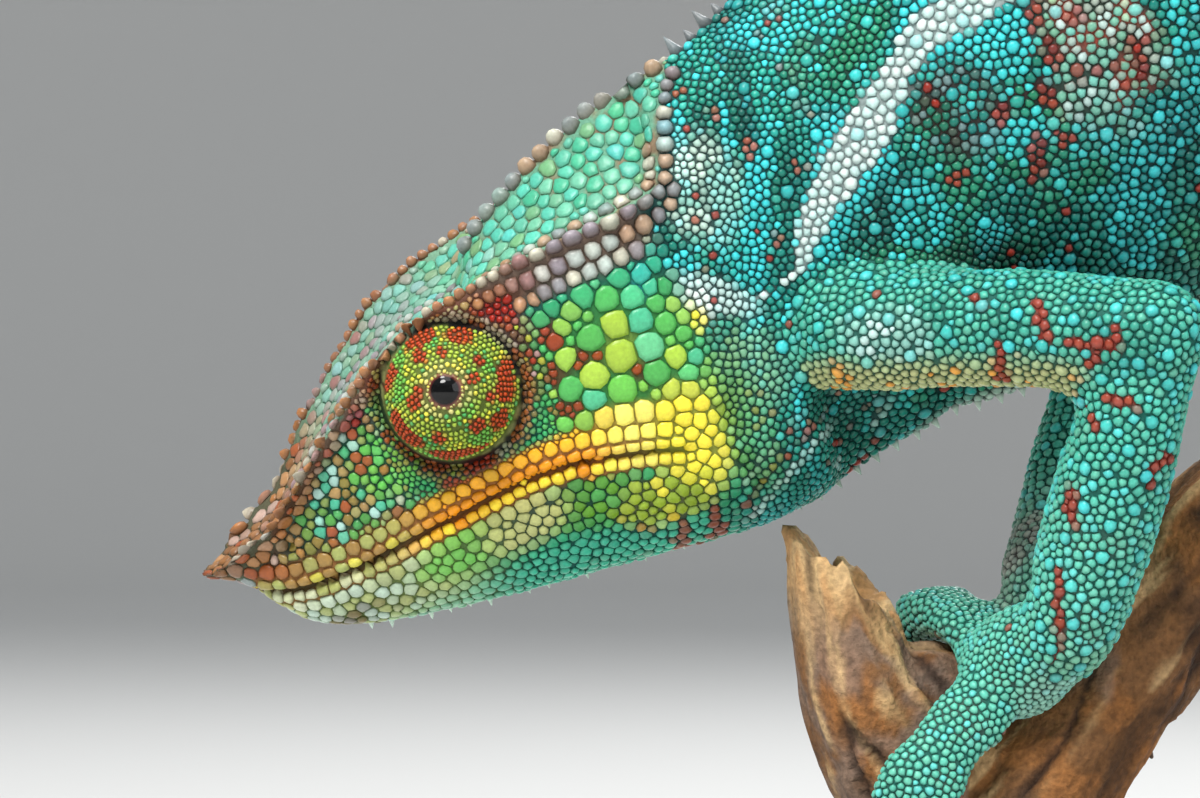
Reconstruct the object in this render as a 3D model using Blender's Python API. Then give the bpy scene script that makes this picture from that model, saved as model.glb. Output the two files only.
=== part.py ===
"""Panther chameleon, adult male, life size and still, walking head down along a cut branch on a display stand.

Lengths are in millimetres in a working frame just ahead of the left shoulder: X from snout to tail, Y away from
the animal's left side, Z up. OFFSET carries that frame to the middle of the stand's underside, and SCALE to metres.
"""

import math

import bmesh
import bpy
from mathutils import Matrix, Vector

SCALE = 0.001
OFFSET = Vector((-70.0, 0.0, 107.0))

GAP = 0.3  # cut between neighbouring pieces of the body

# ---------------------------------------------------------------- head
HEAD_ORIGIN = Vector((7.6, 0.0, -4.3))  # left mouth corner, on the middle plane
HEAD_PITCH = math.radians(20.0)  # nose down
HEAD_ROLL = math.radians(18.0)  # crown leaning to the left side
HEAD_PIVOT = 10.0  # height in the head about which it rolls
HEAD_FRONT, HEAD_REAR = 43.4, -12.0
# half-widths and heights against the distance ahead of the mouth corner
RIDGE_Y = ((-12, 0.6), (-9.6, 1.4), (-5.4, 6.6), (-3, 7.8), (1.4, 8.6), (6, 8.8), (10, 8.6), (16, 8.1),
           (22, 7.5), (29.6, 6.4), (36, 4.9), (41, 3.4), (43.4, 1.9))
RIDGE_W = ((-12, 30), (-9.6, 32.6), (-5.4, 24.9), (-3, 24.5), (6, 23.9), (10, 23.5), (16, 22.3), (19, 21.5),
           (22, 19.9), (26, 17.0), (29.6, 13.9), (33, 10.7), (36, 8.0), (41, 5.9), (43.4, 4.9))
CROWN_W = ((-12, 30.5), (-9.6, 34.0), (-3, 32.6), (2.4, 30.6), (7.5, 27.8), (12.4, 24.2), (13.8, 21.4),
           (18.5, 20.2), (22, 18.3), (26, 15.6), (29.6, 12.7), (33, 9.6), (36, 7.2), (41, 5.4), (43.4, 4.8))
LIP_Y = ((-12, 9.6), (-7, 11.3), (-3, 11.7), (1.4, 11.5), (10, 10.7), (18.5, 9.3), (26, 7.5), (33, 5.3),
         (36.4, 3.9), (38.6, 2.5), (41, 1.8), (43.4, 0.9))
LIP_W = ((-12, 1.0), (-5, 2.4), (0, 3.7), (3.3, 4.6), (11, 5.7), (23, 3.7), (30.7, 1.9), (36, 1.3),
         (38.6, 1.5), (41, 3.6), (43.4, 4.2))
THROAT_W = ((-12, -7.0), (-7, -7.8), (0, -7.6), (8, -7.1), (18, -6.4), (28, -5.2), (33, -4.1), (36.2, -2.4),
            (38.6, 0.6), (41, 3.1), (43.4, 4.0))
TEMPLE_BULGE = ((-12, 0.0), (-6, 0.4), (2, 0.7), (10, 0.9), (18, 0.7), (26, -0.5), (33, -0.6), (43.4, 0.0))
CHEEK_BULGE = ((-12, 0.0), (-5, 0.2), (4, 0.5), (14, 0.4), (22, 0.2), (30, -0.2), (43.4, 0.1))

EYE_U, EYE_Y, EYE_W = 17.4, 7.9, 14.6
TURRET_RADIUS = 6.2
EYEBALL_RADIUS = 2.2
EYEBALL_SHOWS = 0.35  # how far the eyeball stands out of the turret
LEFT_GAZE = (0.06, 1.0, 0.39)  # ahead, outward, up, in the head
RIGHT_GAZE = (0.35, 1.0, -0.12)

# ---------------------------------------------------------------- neck, trunk and tail
BACK = ((3, 27), (7.5, 31), (12, 35.5), (18, 41.8), (26, 50), (37, 61), (50, 73.5), (66, 85), (82, 94),
        (97, 100.5), (110, 104), (122, 105), (133, 104))
BELLY = ((9, -10), (17.5, -9.3), (24.5, -5.6), (31.5, -1.2), (40, 2), (52, 7.5), (67, 17.5), (83, 31),
         (97.5, 45.5), (110, 60), (121, 71.5), (130, 80), (138, 87))
HALF_WIDTH = (8.6, 9.6, 10.6, 12.2, 14.2, 16.0, 17.2, 17.2, 15.8, 13.4, 10.8, 8.4, 6.6)
NECK_END = 2.6  # station where neck becomes trunk
TRUNK_END = 12.0
NECK_LEAN = math.radians(18.0)  # follows the head's roll and dies out by the shoulder

TAIL_START = Vector((135.5, 0.0, 95.5))
TAIL_LENGTH = 226.0
TAIL_HEADING = ((0, 16), (18, 2), (40, -32), (62, -66), (88, -90), (112, -104), (135, -135), (158, -190),
                (180, -256), (203, -336), (226, -412))
TAIL_DEPTH = ((0, 8.8), (30, 7.2), (60, 5.9), (100, 4.4), (140, 3.2), (180, 2.2), (214, 1.35), (226, 0.8))
TAIL_FLATNESS = ((0, 0.74), (60, 0.82), (226, 0.95))
TAIL_DRIFT = ((0, 0), (60, -2), (120, -4), (170, 2), (226, 9))
TAIL_CUTS = (0.0, 52.0, 98.0, 138.0, 172.0, 200.0, TAIL_LENGTH)

SPINE_PITCH = 3.5
SPINE_HEIGHT = ((0.9, 1.9), (3, 1.8), (8, 1.3), (12, 0.9))

# ---------------------------------------------------------------- limbs: joints and half-thicknesses
LIMBS = {
    "front_left": (((21.5, -8.0, 6.0), (46.4, -18.5, 5.0), (39.9, -10.6, -19.6)), (5.6, 5.1, 5.0, 5.0, 4.5)),
    "front_right": (((22.0, 8.0, 7.5), (46.5, 24.0, 7.0), (39.8, 7.8, -11.0)), (5.6, 5.0, 4.5, 4.0, 3.9)),
    "hind_left": (((110.0, -6.5, 79.0), (92.0, -23.0, 66.0), (103.5, -10.5, 47.5)), (7.0, 6.0, 5.0, 4.9, 4.0)),
    "hind_right": (((111.0, 6.5, 80.0), (101.5, 24.0, 64.5), (118.0, 10.5, 57.5)), (7.0, 6.0, 5.0, 4.9, 4.0)),
}
DIGIT_RADIUS = 2.25
TOE_TIP = 1.55
CLAW_LENGTH, CLAW_RADIUS = 3.8, 0.95
# wrist side and toe runs of the front feet: middle line of each bundle, step between toes, number of toes
FRONT_FEET = {
    "front_left": ((35.9, -6.2, -22.5), (4.0, 4.9, 4.8),
                   (((35.0, -7.4, -24.2), (29.9, -9.5, -28.9), (26.9, -10.3, -33.7), (24.5, -8.6, -39.0)),
                    (2.35, 0.0, -2.1), 2),
                   (((33.4, -2.0, -21.2), (30.8, 2.8, -18.6), (29.2, 6.4, -18.5), (28.2, 8.0, -22.2)),
                    (1.5, 1.9, 0.15), 3)),
    "front_right": ((39.0, 3.4, -15.4), (3.6, 4.3, 4.2),
                    (((38.6, 6.0, -17.5), (40.4, 9.0, -20.0), (42.6, 9.9, -23.6), (44.6, 9.0, -27.4)),
                     (2.6, 0.0, 1.5), 2),
                    (((39.6, 0.8, -13.9), (41.5, -1.8, -11.9), (42.5, -3.6, -12.3), (42.9, -4.6, -14.1)),
                     (1.6, -0.2, 1.1), 3)),
}
# hind feet: distance along the branch, turn of the palm about it, toes outside and inside
HIND_FEET = {"hind_left": (106.0, -0.45, 3, 2), "hind_right": (122.5, 0.45, 3, 2)}

# ---------------------------------------------------------------- perch and stand
BRANCH_PATH = ((20, 0, -78), (25, 1, -60), (31.5, 0.5, -43.5), (39.2, 0, -31.8), (51, -0.5, -15.6),
               (70, 0.5, 4), (92, 1, 23), (115, 0, 39.5), (137, -1, 51))
BRANCH_RADIUS = (8.6, 9.2, 8.6, 6.6, 5.9, 6.3, 6.6, 6.2, 5.6)
STUB_PATH = ((33, 0, -48), (30, 0, -40), (26.8, 0, -32.5), (23.0, -0.3, -25), (20.8, -0.5, -17))
STUB_RADIUS = (6.5, 6.4, 6.3, 5.8, 4.7)
WEB_PATH = ((34, 0, -43), (31.2, 0.2, -33), (27.6, 0.3, -24))
WEB_RADIUS = (5.5, 4.8, 3.7)
BARK_RELIEF = 0.45

BASE_SIZE = (134.0, 92.0, 12.0)
BASE_CORNER = 14.0
BASE_BEVEL = 2.0
ROD_RADIUS = 3.5
ROD_FLANGE_RADIUS, ROD_FLANGE_HEIGHT = 7.5, 2.2
ROD_PLACES = {"stand_rod_front": (-47.0, 33.5), "stand_rod_rear": (24.0, 134.0)}  # across the base, top height

COLOURS = {
    "skin": (0.10, 0.55, 0.50), "eye_skin": (0.60, 0.65, 0.10), "eye": (0.02, 0.02, 0.02),
    "claw": (0.35, 0.28, 0.20), "wood": (0.35, 0.22, 0.13), "stand": (0.03, 0.03, 0.035), "rod": (0.5, 0.5, 0.5),
}

for old in list(bpy.data.objects):
    bpy.data.objects.remove(old, do_unlink=True)

scene = bpy.context.scene
cutters = bpy.data.collections.new("cutters")
scene.collection.children.link(cutters)


def curve(knots, x):
    """Value at x on a smooth curve through (x, value) knots that never overshoots them."""
    if x <= knots[0][0]:
        return knots[0][1]
    if x >= knots[-1][0]:
        return knots[-1][1]
    i = max(k for k in range(len(knots) - 1) if knots[k][0] <= x)
    rise = [(b[1] - a[1]) / (b[0] - a[0]) for a, b in zip(knots, knots[1:])]

    def slope(k):
        if k == 0 or k == len(knots) - 1:
            return rise[min(k, len(rise) - 1)]
        if rise[k - 1] * rise[k] <= 0:
            return 0.0
        return 2 * rise[k - 1] * rise[k] / (rise[k - 1] + rise[k])

    h = knots[i + 1][0] - knots[i][0]
    t = (x - knots[i][0]) / h
    return ((1 + 2 * t) * (1 - t) ** 2 * knots[i][1] + t * (1 - t) ** 2 * h * slope(i)
            + t * t * (3 - 2 * t) * knots[i + 1][1] + t * t * (t - 1) * h * slope(i + 1))


def along(points, t):
    """Point at index t on a Catmull-Rom curve through the points."""
    n = len(points)
    i = min(int(t), n - 2)
    t -= i
    p1, p2 = Vector(points[i]), Vector(points[i + 1])
    p0 = Vector(points[i - 1]) if i else 2 * p1 - p2
    p3 = Vector(points[i + 2]) if i + 2 < n else 2 * p2 - p1
    return 0.5 * (2 * p1 + (p2 - p0) * t + (2 * p0 - 5 * p1 + 4 * p2 - p3) * t ** 2
                  + (3 * p1 - p0 - 3 * p2 + p3) * t ** 3)


def material(name):
    found = bpy.data.materials.get(name)
    if found:
        return found
    made = bpy.data.materials.new(name)
    made.use_nodes = True
    made.node_tree.nodes["Principled BSDF"].inputs["Base Color"].default_value = (*COLOURS[name], 1.0)
    made.node_tree.nodes["Principled BSDF"].inputs["Roughness"].default_value = 0.5
    return made


def solid(name, points, faces, kind, is_cutter=False):
    """An object from millimetre points of the working frame, facing out."""
    mesh = bpy.data.meshes.new(name)
    mesh.from_pydata([(Vector(p) + OFFSET) * SCALE for p in points], [], faces)
    bm = bmesh.new()
    bm.from_mesh(mesh)
    bmesh.ops.recalc_face_normals(bm, faces=bm.faces)
    bmesh.ops.triangulate(bm, faces=[f for f in bm.faces if len(f.verts) > 4])
    bm.to_mesh(mesh)
    bm.free()
    obj = bpy.data.objects.new(name, mesh)
    mesh.materials.append(material(kind))
    if is_cutter:
        obj.hide_render = True
        obj.display_type = "WIRE"
        cutters.objects.link(obj)
    else:
        scene.collection.objects.link(obj)
    return obj


def ring_solid(rings, start_tip=None, end_tip=None):
    """Points and faces of a closed body through rings of equal count, with fans at both ends."""
    count = len(rings[0])
    points = [p for ring in rings for p in ring]
    faces = []
    for r in range(len(rings) - 1):
        for k in range(count):
            a, b = r * count + k, r * count + (k + 1) % count
            faces.append((a, b, b + count, a + count))
    for ring, first, tip in ((rings[0], 0, start_tip), (rings[-1], len(points) - count, end_tip)):
        middle = Vector(tip) if tip is not None else sum((Vector(p) for p in ring), Vector()) / count
        points.append(middle)
        faces += [(first + k, first + (k + 1) % count, len(points) - 1) for k in range(count)]
    return points, faces


def grown(obj, by, name):
    """Cutter: a copy of the object pushed out along its normals, in millimetres."""
    mesh = obj.data.copy()
    normals = [v.normal.copy() for v in mesh.vertices]
    for v, n in zip(mesh.vertices, normals):
        v.co += n * by * SCALE
    copy = bpy.data.objects.new(name, mesh)
    copy.hide_render = True
    copy.display_type = "WIRE"
    cutters.objects.link(copy)
    return copy


def boolean(obj, other, operation):
    step = obj.modifiers.new(operation.lower() + "_" + other.name, "BOOLEAN")
    step.operation = operation
    step.object = other
    step.solver = "EXACT"


def settle(obj):
    """Takes the object's modifiers into its mesh, so that what comes later can start from it."""
    bpy.context.view_layer.update()
    done = bpy.data.meshes.new_from_object(obj.evaluated_get(bpy.context.evaluated_depsgraph_get()))
    obj.modifiers.clear()
    obj.data = done


def tube(name, path, radii, sides, steps, kind, is_cutter=False, round_start=True, round_end=True, flat=1.0,
         across=None):
    """A round-ended tube on a smooth path; radii are given at equal steps along it, flat squeezes it crossways."""
    total = len(path) - 1
    centres = [along(path, total * k / steps) for k in range(steps + 1)]
    tangents = [(centres[min(k + 1, steps)] - centres[max(k - 1, 0)]).normalized() for k in range(steps + 1)]
    side = across or tangents[0].cross(Vector((0, 0, 1)) if abs(tangents[0].z) < 0.9 else Vector((1, 0, 0)))
    rings = []
    knots = tuple((k / (len(radii) - 1), r) for k, r in enumerate(radii))

    def ring(centre, tangent, radius):
        up = side.cross(tangent).normalized()
        return [centre + radius * (math.cos(a) * side + flat * math.sin(a) * up)
                for a in (2 * math.pi * k / sides for k in range(sides))]

    for k, (centre, tangent) in enumerate(zip(centres, tangents)):
        side = (side - side.dot(tangent) * tangent).normalized()
        radius = curve(knots, k / steps)
        if k == 0 and round_start:
            rings.append(ring(centre - 0.7 * radius * tangent, tangent, 0.7 * radius))
        rings.append(ring(centre, tangent, radius))
        if k == steps and round_end:
            rings.append(ring(centre + 0.7 * radius * tangent, tangent, 0.7 * radius))
    start = centres[0] - tangents[0] * radii[0] if round_start else None
    end = centres[-1] + tangents[-1] * radii[-1] if round_end else None
    points, faces = ring_solid(rings, start, end)
    return solid(name, points, faces, kind, is_cutter)


def ball(name, centre, radii, kind, rings=7, sides=12, axis=(0, 0, 1), is_cutter=False):
    """An ellipsoid whose pole points along the axis."""
    turn = Vector((0, 0, 1)).rotation_difference(Vector(axis)).to_matrix()
    rows = []
    for r in range(1, rings):
        lat = math.pi * r / rings
        rows.append([Vector(centre) + turn @ Vector((radii[0] * math.sin(lat) * math.cos(a),
                                                     radii[1] * math.sin(lat) * math.sin(a),
                                                     radii[2] * math.cos(lat)))
                     for a in (2 * math.pi * k / sides for k in range(sides))])
    pole = turn @ Vector((0, 0, radii[2]))
    points, faces = ring_solid(rows, Vector(centre) + pole, Vector(centre) - pole)
    return solid(name, points, faces, kind, is_cutter)


def head_point(u, y, w):
    """From the head (ahead, left, up) to the working frame."""
    lean = w * math.cos(HEAD_ROLL) - y * math.sin(HEAD_ROLL)
    depth = -(y * math.cos(HEAD_ROLL) + (w - HEAD_PIVOT) * math.sin(HEAD_ROLL))
    return HEAD_ORIGIN + Vector((-u * math.cos(HEAD_PITCH) - lean * math.sin(HEAD_PITCH), depth,
                                 -u * math.sin(HEAD_PITCH) + lean * math.cos(HEAD_PITCH)))


def head_ring(u, spans=2):
    """Ring across the head from the crown down the left side, under the throat and up the right side."""
    ridge_y, ridge_w = curve(RIDGE_Y, u), curve(RIDGE_W, u)
    crown, lip_y, lip_w, throat = curve(CROWN_W, u), curve(LIP_Y, u), curve(LIP_W, u), curve(THROAT_W, u)
    tall, deep = ridge_w - lip_w, lip_w - throat
    roof = ((0.0, crown), (0.5 * ridge_y, 0.5 * (crown + ridge_w) - 0.55), (ridge_y, ridge_w))
    temple_y = 0.62 * ridge_y + 0.38 * lip_y + curve(TEMPLE_BULGE, u)
    cheek_y = 0.2 * ridge_y + 0.8 * lip_y + curve(CHEEK_BULGE, u)
    side = (roof[2], (temple_y, ridge_w - 0.30 * tall), (cheek_y, lip_w + 0.33 * tall), (lip_y, lip_w),
            (0.93 * lip_y, lip_w - 0.45 * deep), (0.62 * lip_y, throat + 0.12 * deep), (0.0, throat - 0.35))
    half = [roof[0], roof[1]]
    for place in [k / spans for k in range(3 * spans)] + [3, 4, 5, 6]:
        p = along([(y, w, 0.0) for y, w in side], place)
        half.append((max(p.x, 0.0), p.y))
    half[-1] = (0.0, side[-1][1])
    full = half + [(-y, w) for y, w in half[-2:0:-1]]
    return [head_point(u, y, w) for y, w in full]


def body_ring(t, sides=20):
    """Ring across the body at station t, in the plane of its back and belly points."""
    back, belly = along([(x, 0, z) for x, z in BACK], t), along([(x, 0, z) for x, z in BELLY], t)
    width = along([(w, 0, 0) for w in HALF_WIDTH], t).x
    lean = math.sin(NECK_LEAN) * max(0.0, 1.0 - t / 4.0)
    ring = []
    for k in range(sides):
        a = 2 * math.pi * k / sides
        v = 0.5 * (1 - math.cos(a))
        y = width * math.sin(math.pi * v ** 0.86) ** 0.72 if 0 < v < 1 else 0.0
        p = back.lerp(belly, v)
        tall = (back - belly).length
        p.y = (-y if a < math.pi else y) - lean * (0.5 - v) * tall - 1.0 * max(0.0, 1.0 - t / 3.0)
        ring.append(p)
    return ring


def tail_centres(step=1.0):
    """Points and headings along the middle line of the tail."""
    point, found = TAIL_START.copy(), []
    for k in range(int(TAIL_LENGTH / step) + 1):
        s = k * step
        heading = math.radians(curve(TAIL_HEADING, s))
        found.append((s, Vector((point.x, curve(TAIL_DRIFT, s), point.z)), heading))
        point += Vector((math.cos(heading), 0, math.sin(heading))) * step
    return found


TAIL_LINE = tail_centres()


def tail_ring(s, sides=12):
    i = min(int(s), len(TAIL_LINE) - 2)
    part = s - i
    centre = TAIL_LINE[i][1].lerp(TAIL_LINE[i + 1][1], part)
    heading = math.radians(curve(TAIL_HEADING, s))
    up = Vector((-math.sin(heading), 0, math.cos(heading)))
    depth = curve(TAIL_DEPTH, s)
    width = depth * curve(TAIL_FLATNESS, s)
    return [centre + up * depth * math.cos(a) - Vector((0, width * math.sin(a), 0))
            for a in (2 * math.pi * k / sides for k in range(sides))]


def stations(start, end, step):
    count = max(1, round(abs(end - start) / step))
    return [start + (end - start) * k / count for k in range(count + 1)]


def spines(name, places):
    """Cutter-side body of many small separate cones, given as base point, direction and height."""
    points, faces = [], []
    for base, direction, height in places:
        turn = Vector((0, 0, 1)).rotation_difference(direction).to_matrix()
        first = len(points)
        points += [base + turn @ Vector((0.66 * height * math.cos(a), 0.66 * height * math.sin(a), -1.2))
                   for a in (2 * math.pi * k / 4 for k in range(4))]
        points.append(base + turn @ Vector((0, 0, height)))
        faces += [(first + k, first + (k + 1) % 4, first + 4) for k in range(4)]
        faces.append((first + 3, first + 2, first + 1, first))
    return solid(name, points, faces, "skin", True)


# ---------------------------------------------------------------- head, jaw and eyes
head_rings = [head_ring(u) for u in (HEAD_FRONT, 42, 40.2, 38.6, 37.3, 36, 33, 29.6, 26, 22, 18.5, 15, 13.6, 12.2,
                                     9, 5, 1, -2.8, -5.4, -7.6, -9.6, HEAD_REAR)]
head = solid("head", *ring_solid(head_rings, head_point(HEAD_FRONT + 0.5, 0, 4.5)), "skin")
whole_head = grown(head, GAP, "head_grown")


def mouth_wedge(name, lift):
    """Everything below the mouth line and ahead of the jaw's hinge."""
    line = [(u, curve(LIP_W, min(u, 38.6)) + lift) for u in (46, 38.6, 33, 27, 20, 11, 5, 0)]
    line += [(-1.6 - lift, 2.6), (-5.2 - lift, -14.0), (46, -14.0)]
    return solid(name, *ring_solid([[head_point(u, y, w) for u, w in line] for y in (-22.0, 22.0)]), "skin", True)


jaw = solid("lower_jaw", *ring_solid(head_rings[3:-2]), "skin")
boolean(jaw, mouth_wedge("jaw_keep", 0.0), "INTERSECT")
boolean(head, mouth_wedge("jaw_clear", GAP), "DIFFERENCE")

for label, hand, gaze in (("left", 1, LEFT_GAZE), ("right", -1, RIGHT_GAZE)):
    centre = head_point(EYE_U, hand * EYE_Y, EYE_W)
    look = (head_point(gaze[0], hand * gaze[1], gaze[2]) - head_point(0, 0, 0)).normalized()
    turret = ball("eye_turret_" + label, centre, (TURRET_RADIUS,) * 3, "eye_skin", 7, 13, look)
    socket = ball("socket_" + label, centre, (TURRET_RADIUS + GAP,) * 3, "eye_skin", 7, 13, look, True)
    boolean(head, socket, "DIFFERENCE")
    seat = centre + look * (TURRET_RADIUS + EYEBALL_SHOWS - EYEBALL_RADIUS)
    ball("eyeball_" + label, seat, (EYEBALL_RADIUS,) * 3, "eye", 5, 10, look)
    boolean(turret, ball("pocket_" + label, seat, (EYEBALL_RADIUS + 0.2,) * 3, "eye", 5, 10, look, True), "DIFFERENCE")

# ---------------------------------------------------------------- neck and trunk
neck_step = GAP / 9.0
neck = solid("neck", *ring_solid([body_ring(t) for t in stations(0, NECK_END - neck_step, 0.85)]), "skin")
trunk = solid("trunk", *ring_solid([body_ring(t) for t in stations(NECK_END, TRUNK_END, 0.85)]), "skin")
boolean(neck, whole_head, "DIFFERENCE")
neck_grown, trunk_grown = grown(neck, GAP, "neck_grown"), grown(trunk, GAP, "trunk_grown")


def back_spines(name, first, last):
    places, t = [], first
    while t < last:
        here, ahead = (along([(x, 0, z) for x, z in BACK], min(s, TRUNK_END)) for s in (t, t + 0.05))
        run = (ahead - here).normalized()
        lean = math.sin(NECK_LEAN) * max(0.0, 1.0 - t / 4.0)
        belly = along([(x, 0, z) for x, z in BELLY], t)
        here.y = -0.5 * lean * (here - belly).length - 1.0 * max(0.0, 1.0 - t / 3.0)
        up = Vector((-run.z, 0, run.x)) + Vector((0.25 * run.x, 0, 0.25 * run.z))
        places.append((here, up.normalized(), curve(SPINE_HEIGHT, t)))
        t += SPINE_PITCH / ((ahead - here).xz.length / 0.05)
    return spines(name, places)


boolean(neck, back_spines("neck_spines", 1.15, NECK_END - 0.25), "UNION")
boolean(trunk, back_spines("trunk_spines", NECK_END + 0.2, TRUNK_END - 0.3), "UNION")

# ---------------------------------------------------------------- tail
for k, (start, end) in enumerate(zip(TAIL_CUTS, TAIL_CUTS[1:])):
    rings = [tail_ring(s) for s in stations(start + (GAP if k == 0 else GAP / 2), end - (GAP / 2), 7.5)]
    solid("tail_%d" % (k + 1), *ring_solid(rings), "skin")

# ---------------------------------------------------------------- perch
main = tube("perch", BRANCH_PATH, BRANCH_RADIUS, 12, 20, "wood", False, False, False)
for v in main.data.vertices:
    x, y, z = v.co / SCALE
    bump = math.sin(0.31 * z + 1.7 * math.sin(0.9 * y + 0.2 * x)) + 0.6 * math.sin(0.9 * x - 0.45 * z + y)
    v.co += v.normal * bump * BARK_RELIEF * SCALE
stub = tube("perch_stub", STUB_PATH, STUB_RADIUS, 11, 7, "wood", True, False, False)
for k in range(11):  # broken end: splinters of unlike length, tallest on the outer side
    v = stub.data.vertices[7 * 11 + k]
    reach = 0.9 * math.sin(2.4 * k) + 0.8 * math.cos(5.1 * k + 0.6) - 0.95 * ((v.co / SCALE).x - OFFSET.x - 23.3)
    v.co.z += reach * SCALE
web = tube("perch_web", WEB_PATH, WEB_RADIUS, 9, 4, "wood", True, True, True)
boolean(main, stub, "UNION")
boolean(main, web, "UNION")
main_grown, stub_grown = grown(main, GAP, "perch_grown"), grown(stub, GAP, "stub_grown")
web_grown = grown(web, GAP, "web_grown")
settle(main)
whole_perch = grown(main, 0.5 * GAP, "perch_skin")

# ---------------------------------------------------------------- limbs and feet
BODY_ROOTS = (neck_grown, trunk_grown, whole_head)


def toe(name, path, number):
    tip_run = [along(path, t) for t in (1.5, 2.25, 3.0)]
    piece = tube(name, tip_run, (0.9 * DIGIT_RADIUS, DIGIT_RADIUS, TOE_TIP), 6, 2, "skin", True)
    last, before = Vector(path[-1]), Vector(path[-2])
    run = (last - before).normalized()
    bend = (run - 0.45 * (Vector(path[-2]) - Vector(path[-3])).normalized()).normalized()
    hook = (last + run * 0.4 * TOE_TIP, last + run * (TOE_TIP + 1.2), last + run * (TOE_TIP + 2.0) + bend * 0.9,
            last + run * (TOE_TIP + 2.1) + bend * (CLAW_LENGTH - 1.9))
    claw = tube(number, hook, (CLAW_RADIUS, CLAW_RADIUS, 0.62 * CLAW_RADIUS, 0.28), 5, 3, "claw", False, False, False)
    boolean(claw, grown(piece, GAP * 0.8, number + "_clear"), "DIFFERENCE")
    return piece


def branch_at(x):
    """Centre, direction and radius of the branch where its X is x."""
    t = 0.0
    while along(BRANCH_PATH, t).x < x:
        t += 0.01
    run = (along(BRANCH_PATH, t + 0.02) - along(BRANCH_PATH, t - 0.02)).normalized()
    return along(BRANCH_PATH, t), run, curve(tuple(enumerate(BRANCH_RADIUS)), t)


def foot(limb, palm_centre, palm_size, bundles):
    """Palm and two opposed bundles of toes, cut clear of the perch."""
    wrist, middle = Vector(LIMBS[limb][0][2]), Vector(palm_centre)
    palm = tube("foot_" + limb, (wrist, middle, middle + 0.2 * (middle - wrist)), palm_size, 10, 4, "skin")
    number = 0
    for path, step, count in bundles:
        half = 0.5 * (count - 1) * Vector(step).length + 0.92 * DIGIT_RADIUS
        run = [Vector(path[0]).lerp(middle, 0.3), *path[1:3], along(path, 2.45)]
        mitten = tube("%s_mitten_%d" % (limb, count), run, (0.8 * half, half, half, 0.8 * half), 10, 4, "skin", True,
                      flat=DIGIT_RADIUS / half, across=Vector(step))
        boolean(palm, mitten, "UNION")
        for k in range(count):
            number += 1
            shift = Vector(step) * (k - (count - 1) / 2)
            run = [Vector(p) + shift * (0.55 if i == 0 else 1.0) for i, p in enumerate(path)]
            piece = toe("%s_toe_%d" % (limb, number), run, "claw_%s_%d" % (limb, number))
            boolean(palm, piece, "UNION")
    settle(palm)
    thin = palm.modifiers.new("thin", "DECIMATE")
    thin.ratio = 0.5
    for wood in (main_grown, stub_grown, web_grown, whole_perch):
        boolean(palm, wood, "DIFFERENCE")
    return palm


for limb, (joints, r) in LIMBS.items():
    root, bend, end = (Vector(j) for j in joints)
    upper = tube("upper_leg_" + limb, (root, root.lerp(bend, 0.5) + Vector((0, 0, 0.6)), bend), r[:3], 10, 4, "skin")
    upper_grown = grown(upper, GAP, "upper_grown_" + limb)
    lower = tube("lower_leg_" + limb, (bend.lerp(end, 0.05), bend.lerp(end, 0.5), end), (0.84 * r[2], r[3], r[4]),
                 10, 4, "skin")
    lower_grown = grown(lower, GAP, "lower_grown_" + limb)
    for body in BODY_ROOTS:
        boolean(upper, body, "DIFFERENCE")
    boolean(lower, upper_grown, "DIFFERENCE")
    if limb in FRONT_FEET:
        palm_centre, palm_size, outer, inner = FRONT_FEET[limb]
        bundles = (outer, inner)
    else:
        place, turn, outside, inside = HIND_FEET[limb]
        centre, run, radius = branch_at(place)
        level = Vector((0, -1 if turn < 0 else 1, 0))  # away from the body
        top = run.cross(Vector((0, 1, 0))).normalized()
        top = top if top.z > 0 else -top
        palm_dir = (top * math.cos(turn) + Vector((0, math.sin(turn), 0))).normalized()
        palm_centre, palm_size = centre + palm_dir * (radius + 3.4), (3.5, 4.5, 4.4)
        bundles = []
        for side, count in ((1, outside), (-1, inside)):
            path = []
            for k, angle in enumerate((0.35, 0.95, 1.6, 2.2)):
                swing = abs(turn) + side * angle
                spoke = top * math.cos(swing) + level * math.sin(swing)
                path.append(centre + spoke * (radius + 2.1) - run * (1.2 * k - 0.5) * side)
            bundles.append((path, run * 3.0, count))
    ended = foot(limb, palm_centre, palm_size, bundles)
    boolean(ended, lower_grown, "DIFFERENCE")

# ---------------------------------------------------------------- stand
half_x, half_y, high = BASE_SIZE[0] / 2, BASE_SIZE[1] / 2, BASE_SIZE[2]
outline = []
for corner_x, corner_y, first in ((1, 1, 0), (-1, 1, 90), (-1, -1, 180), (1, -1, 270)):
    for k in range(5):
        a = math.radians(first + 22.5 * k)
        outline.append((corner_x * (half_x - BASE_CORNER) + BASE_CORNER * math.cos(a),
                        corner_y * (half_y - BASE_CORNER) + BASE_CORNER * math.sin(a)))


def base_ring(z, inset):
    return [Vector((x * (1 - inset / half_x), y * (1 - inset / half_y), z)) - OFFSET for x, y in outline]


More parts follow.
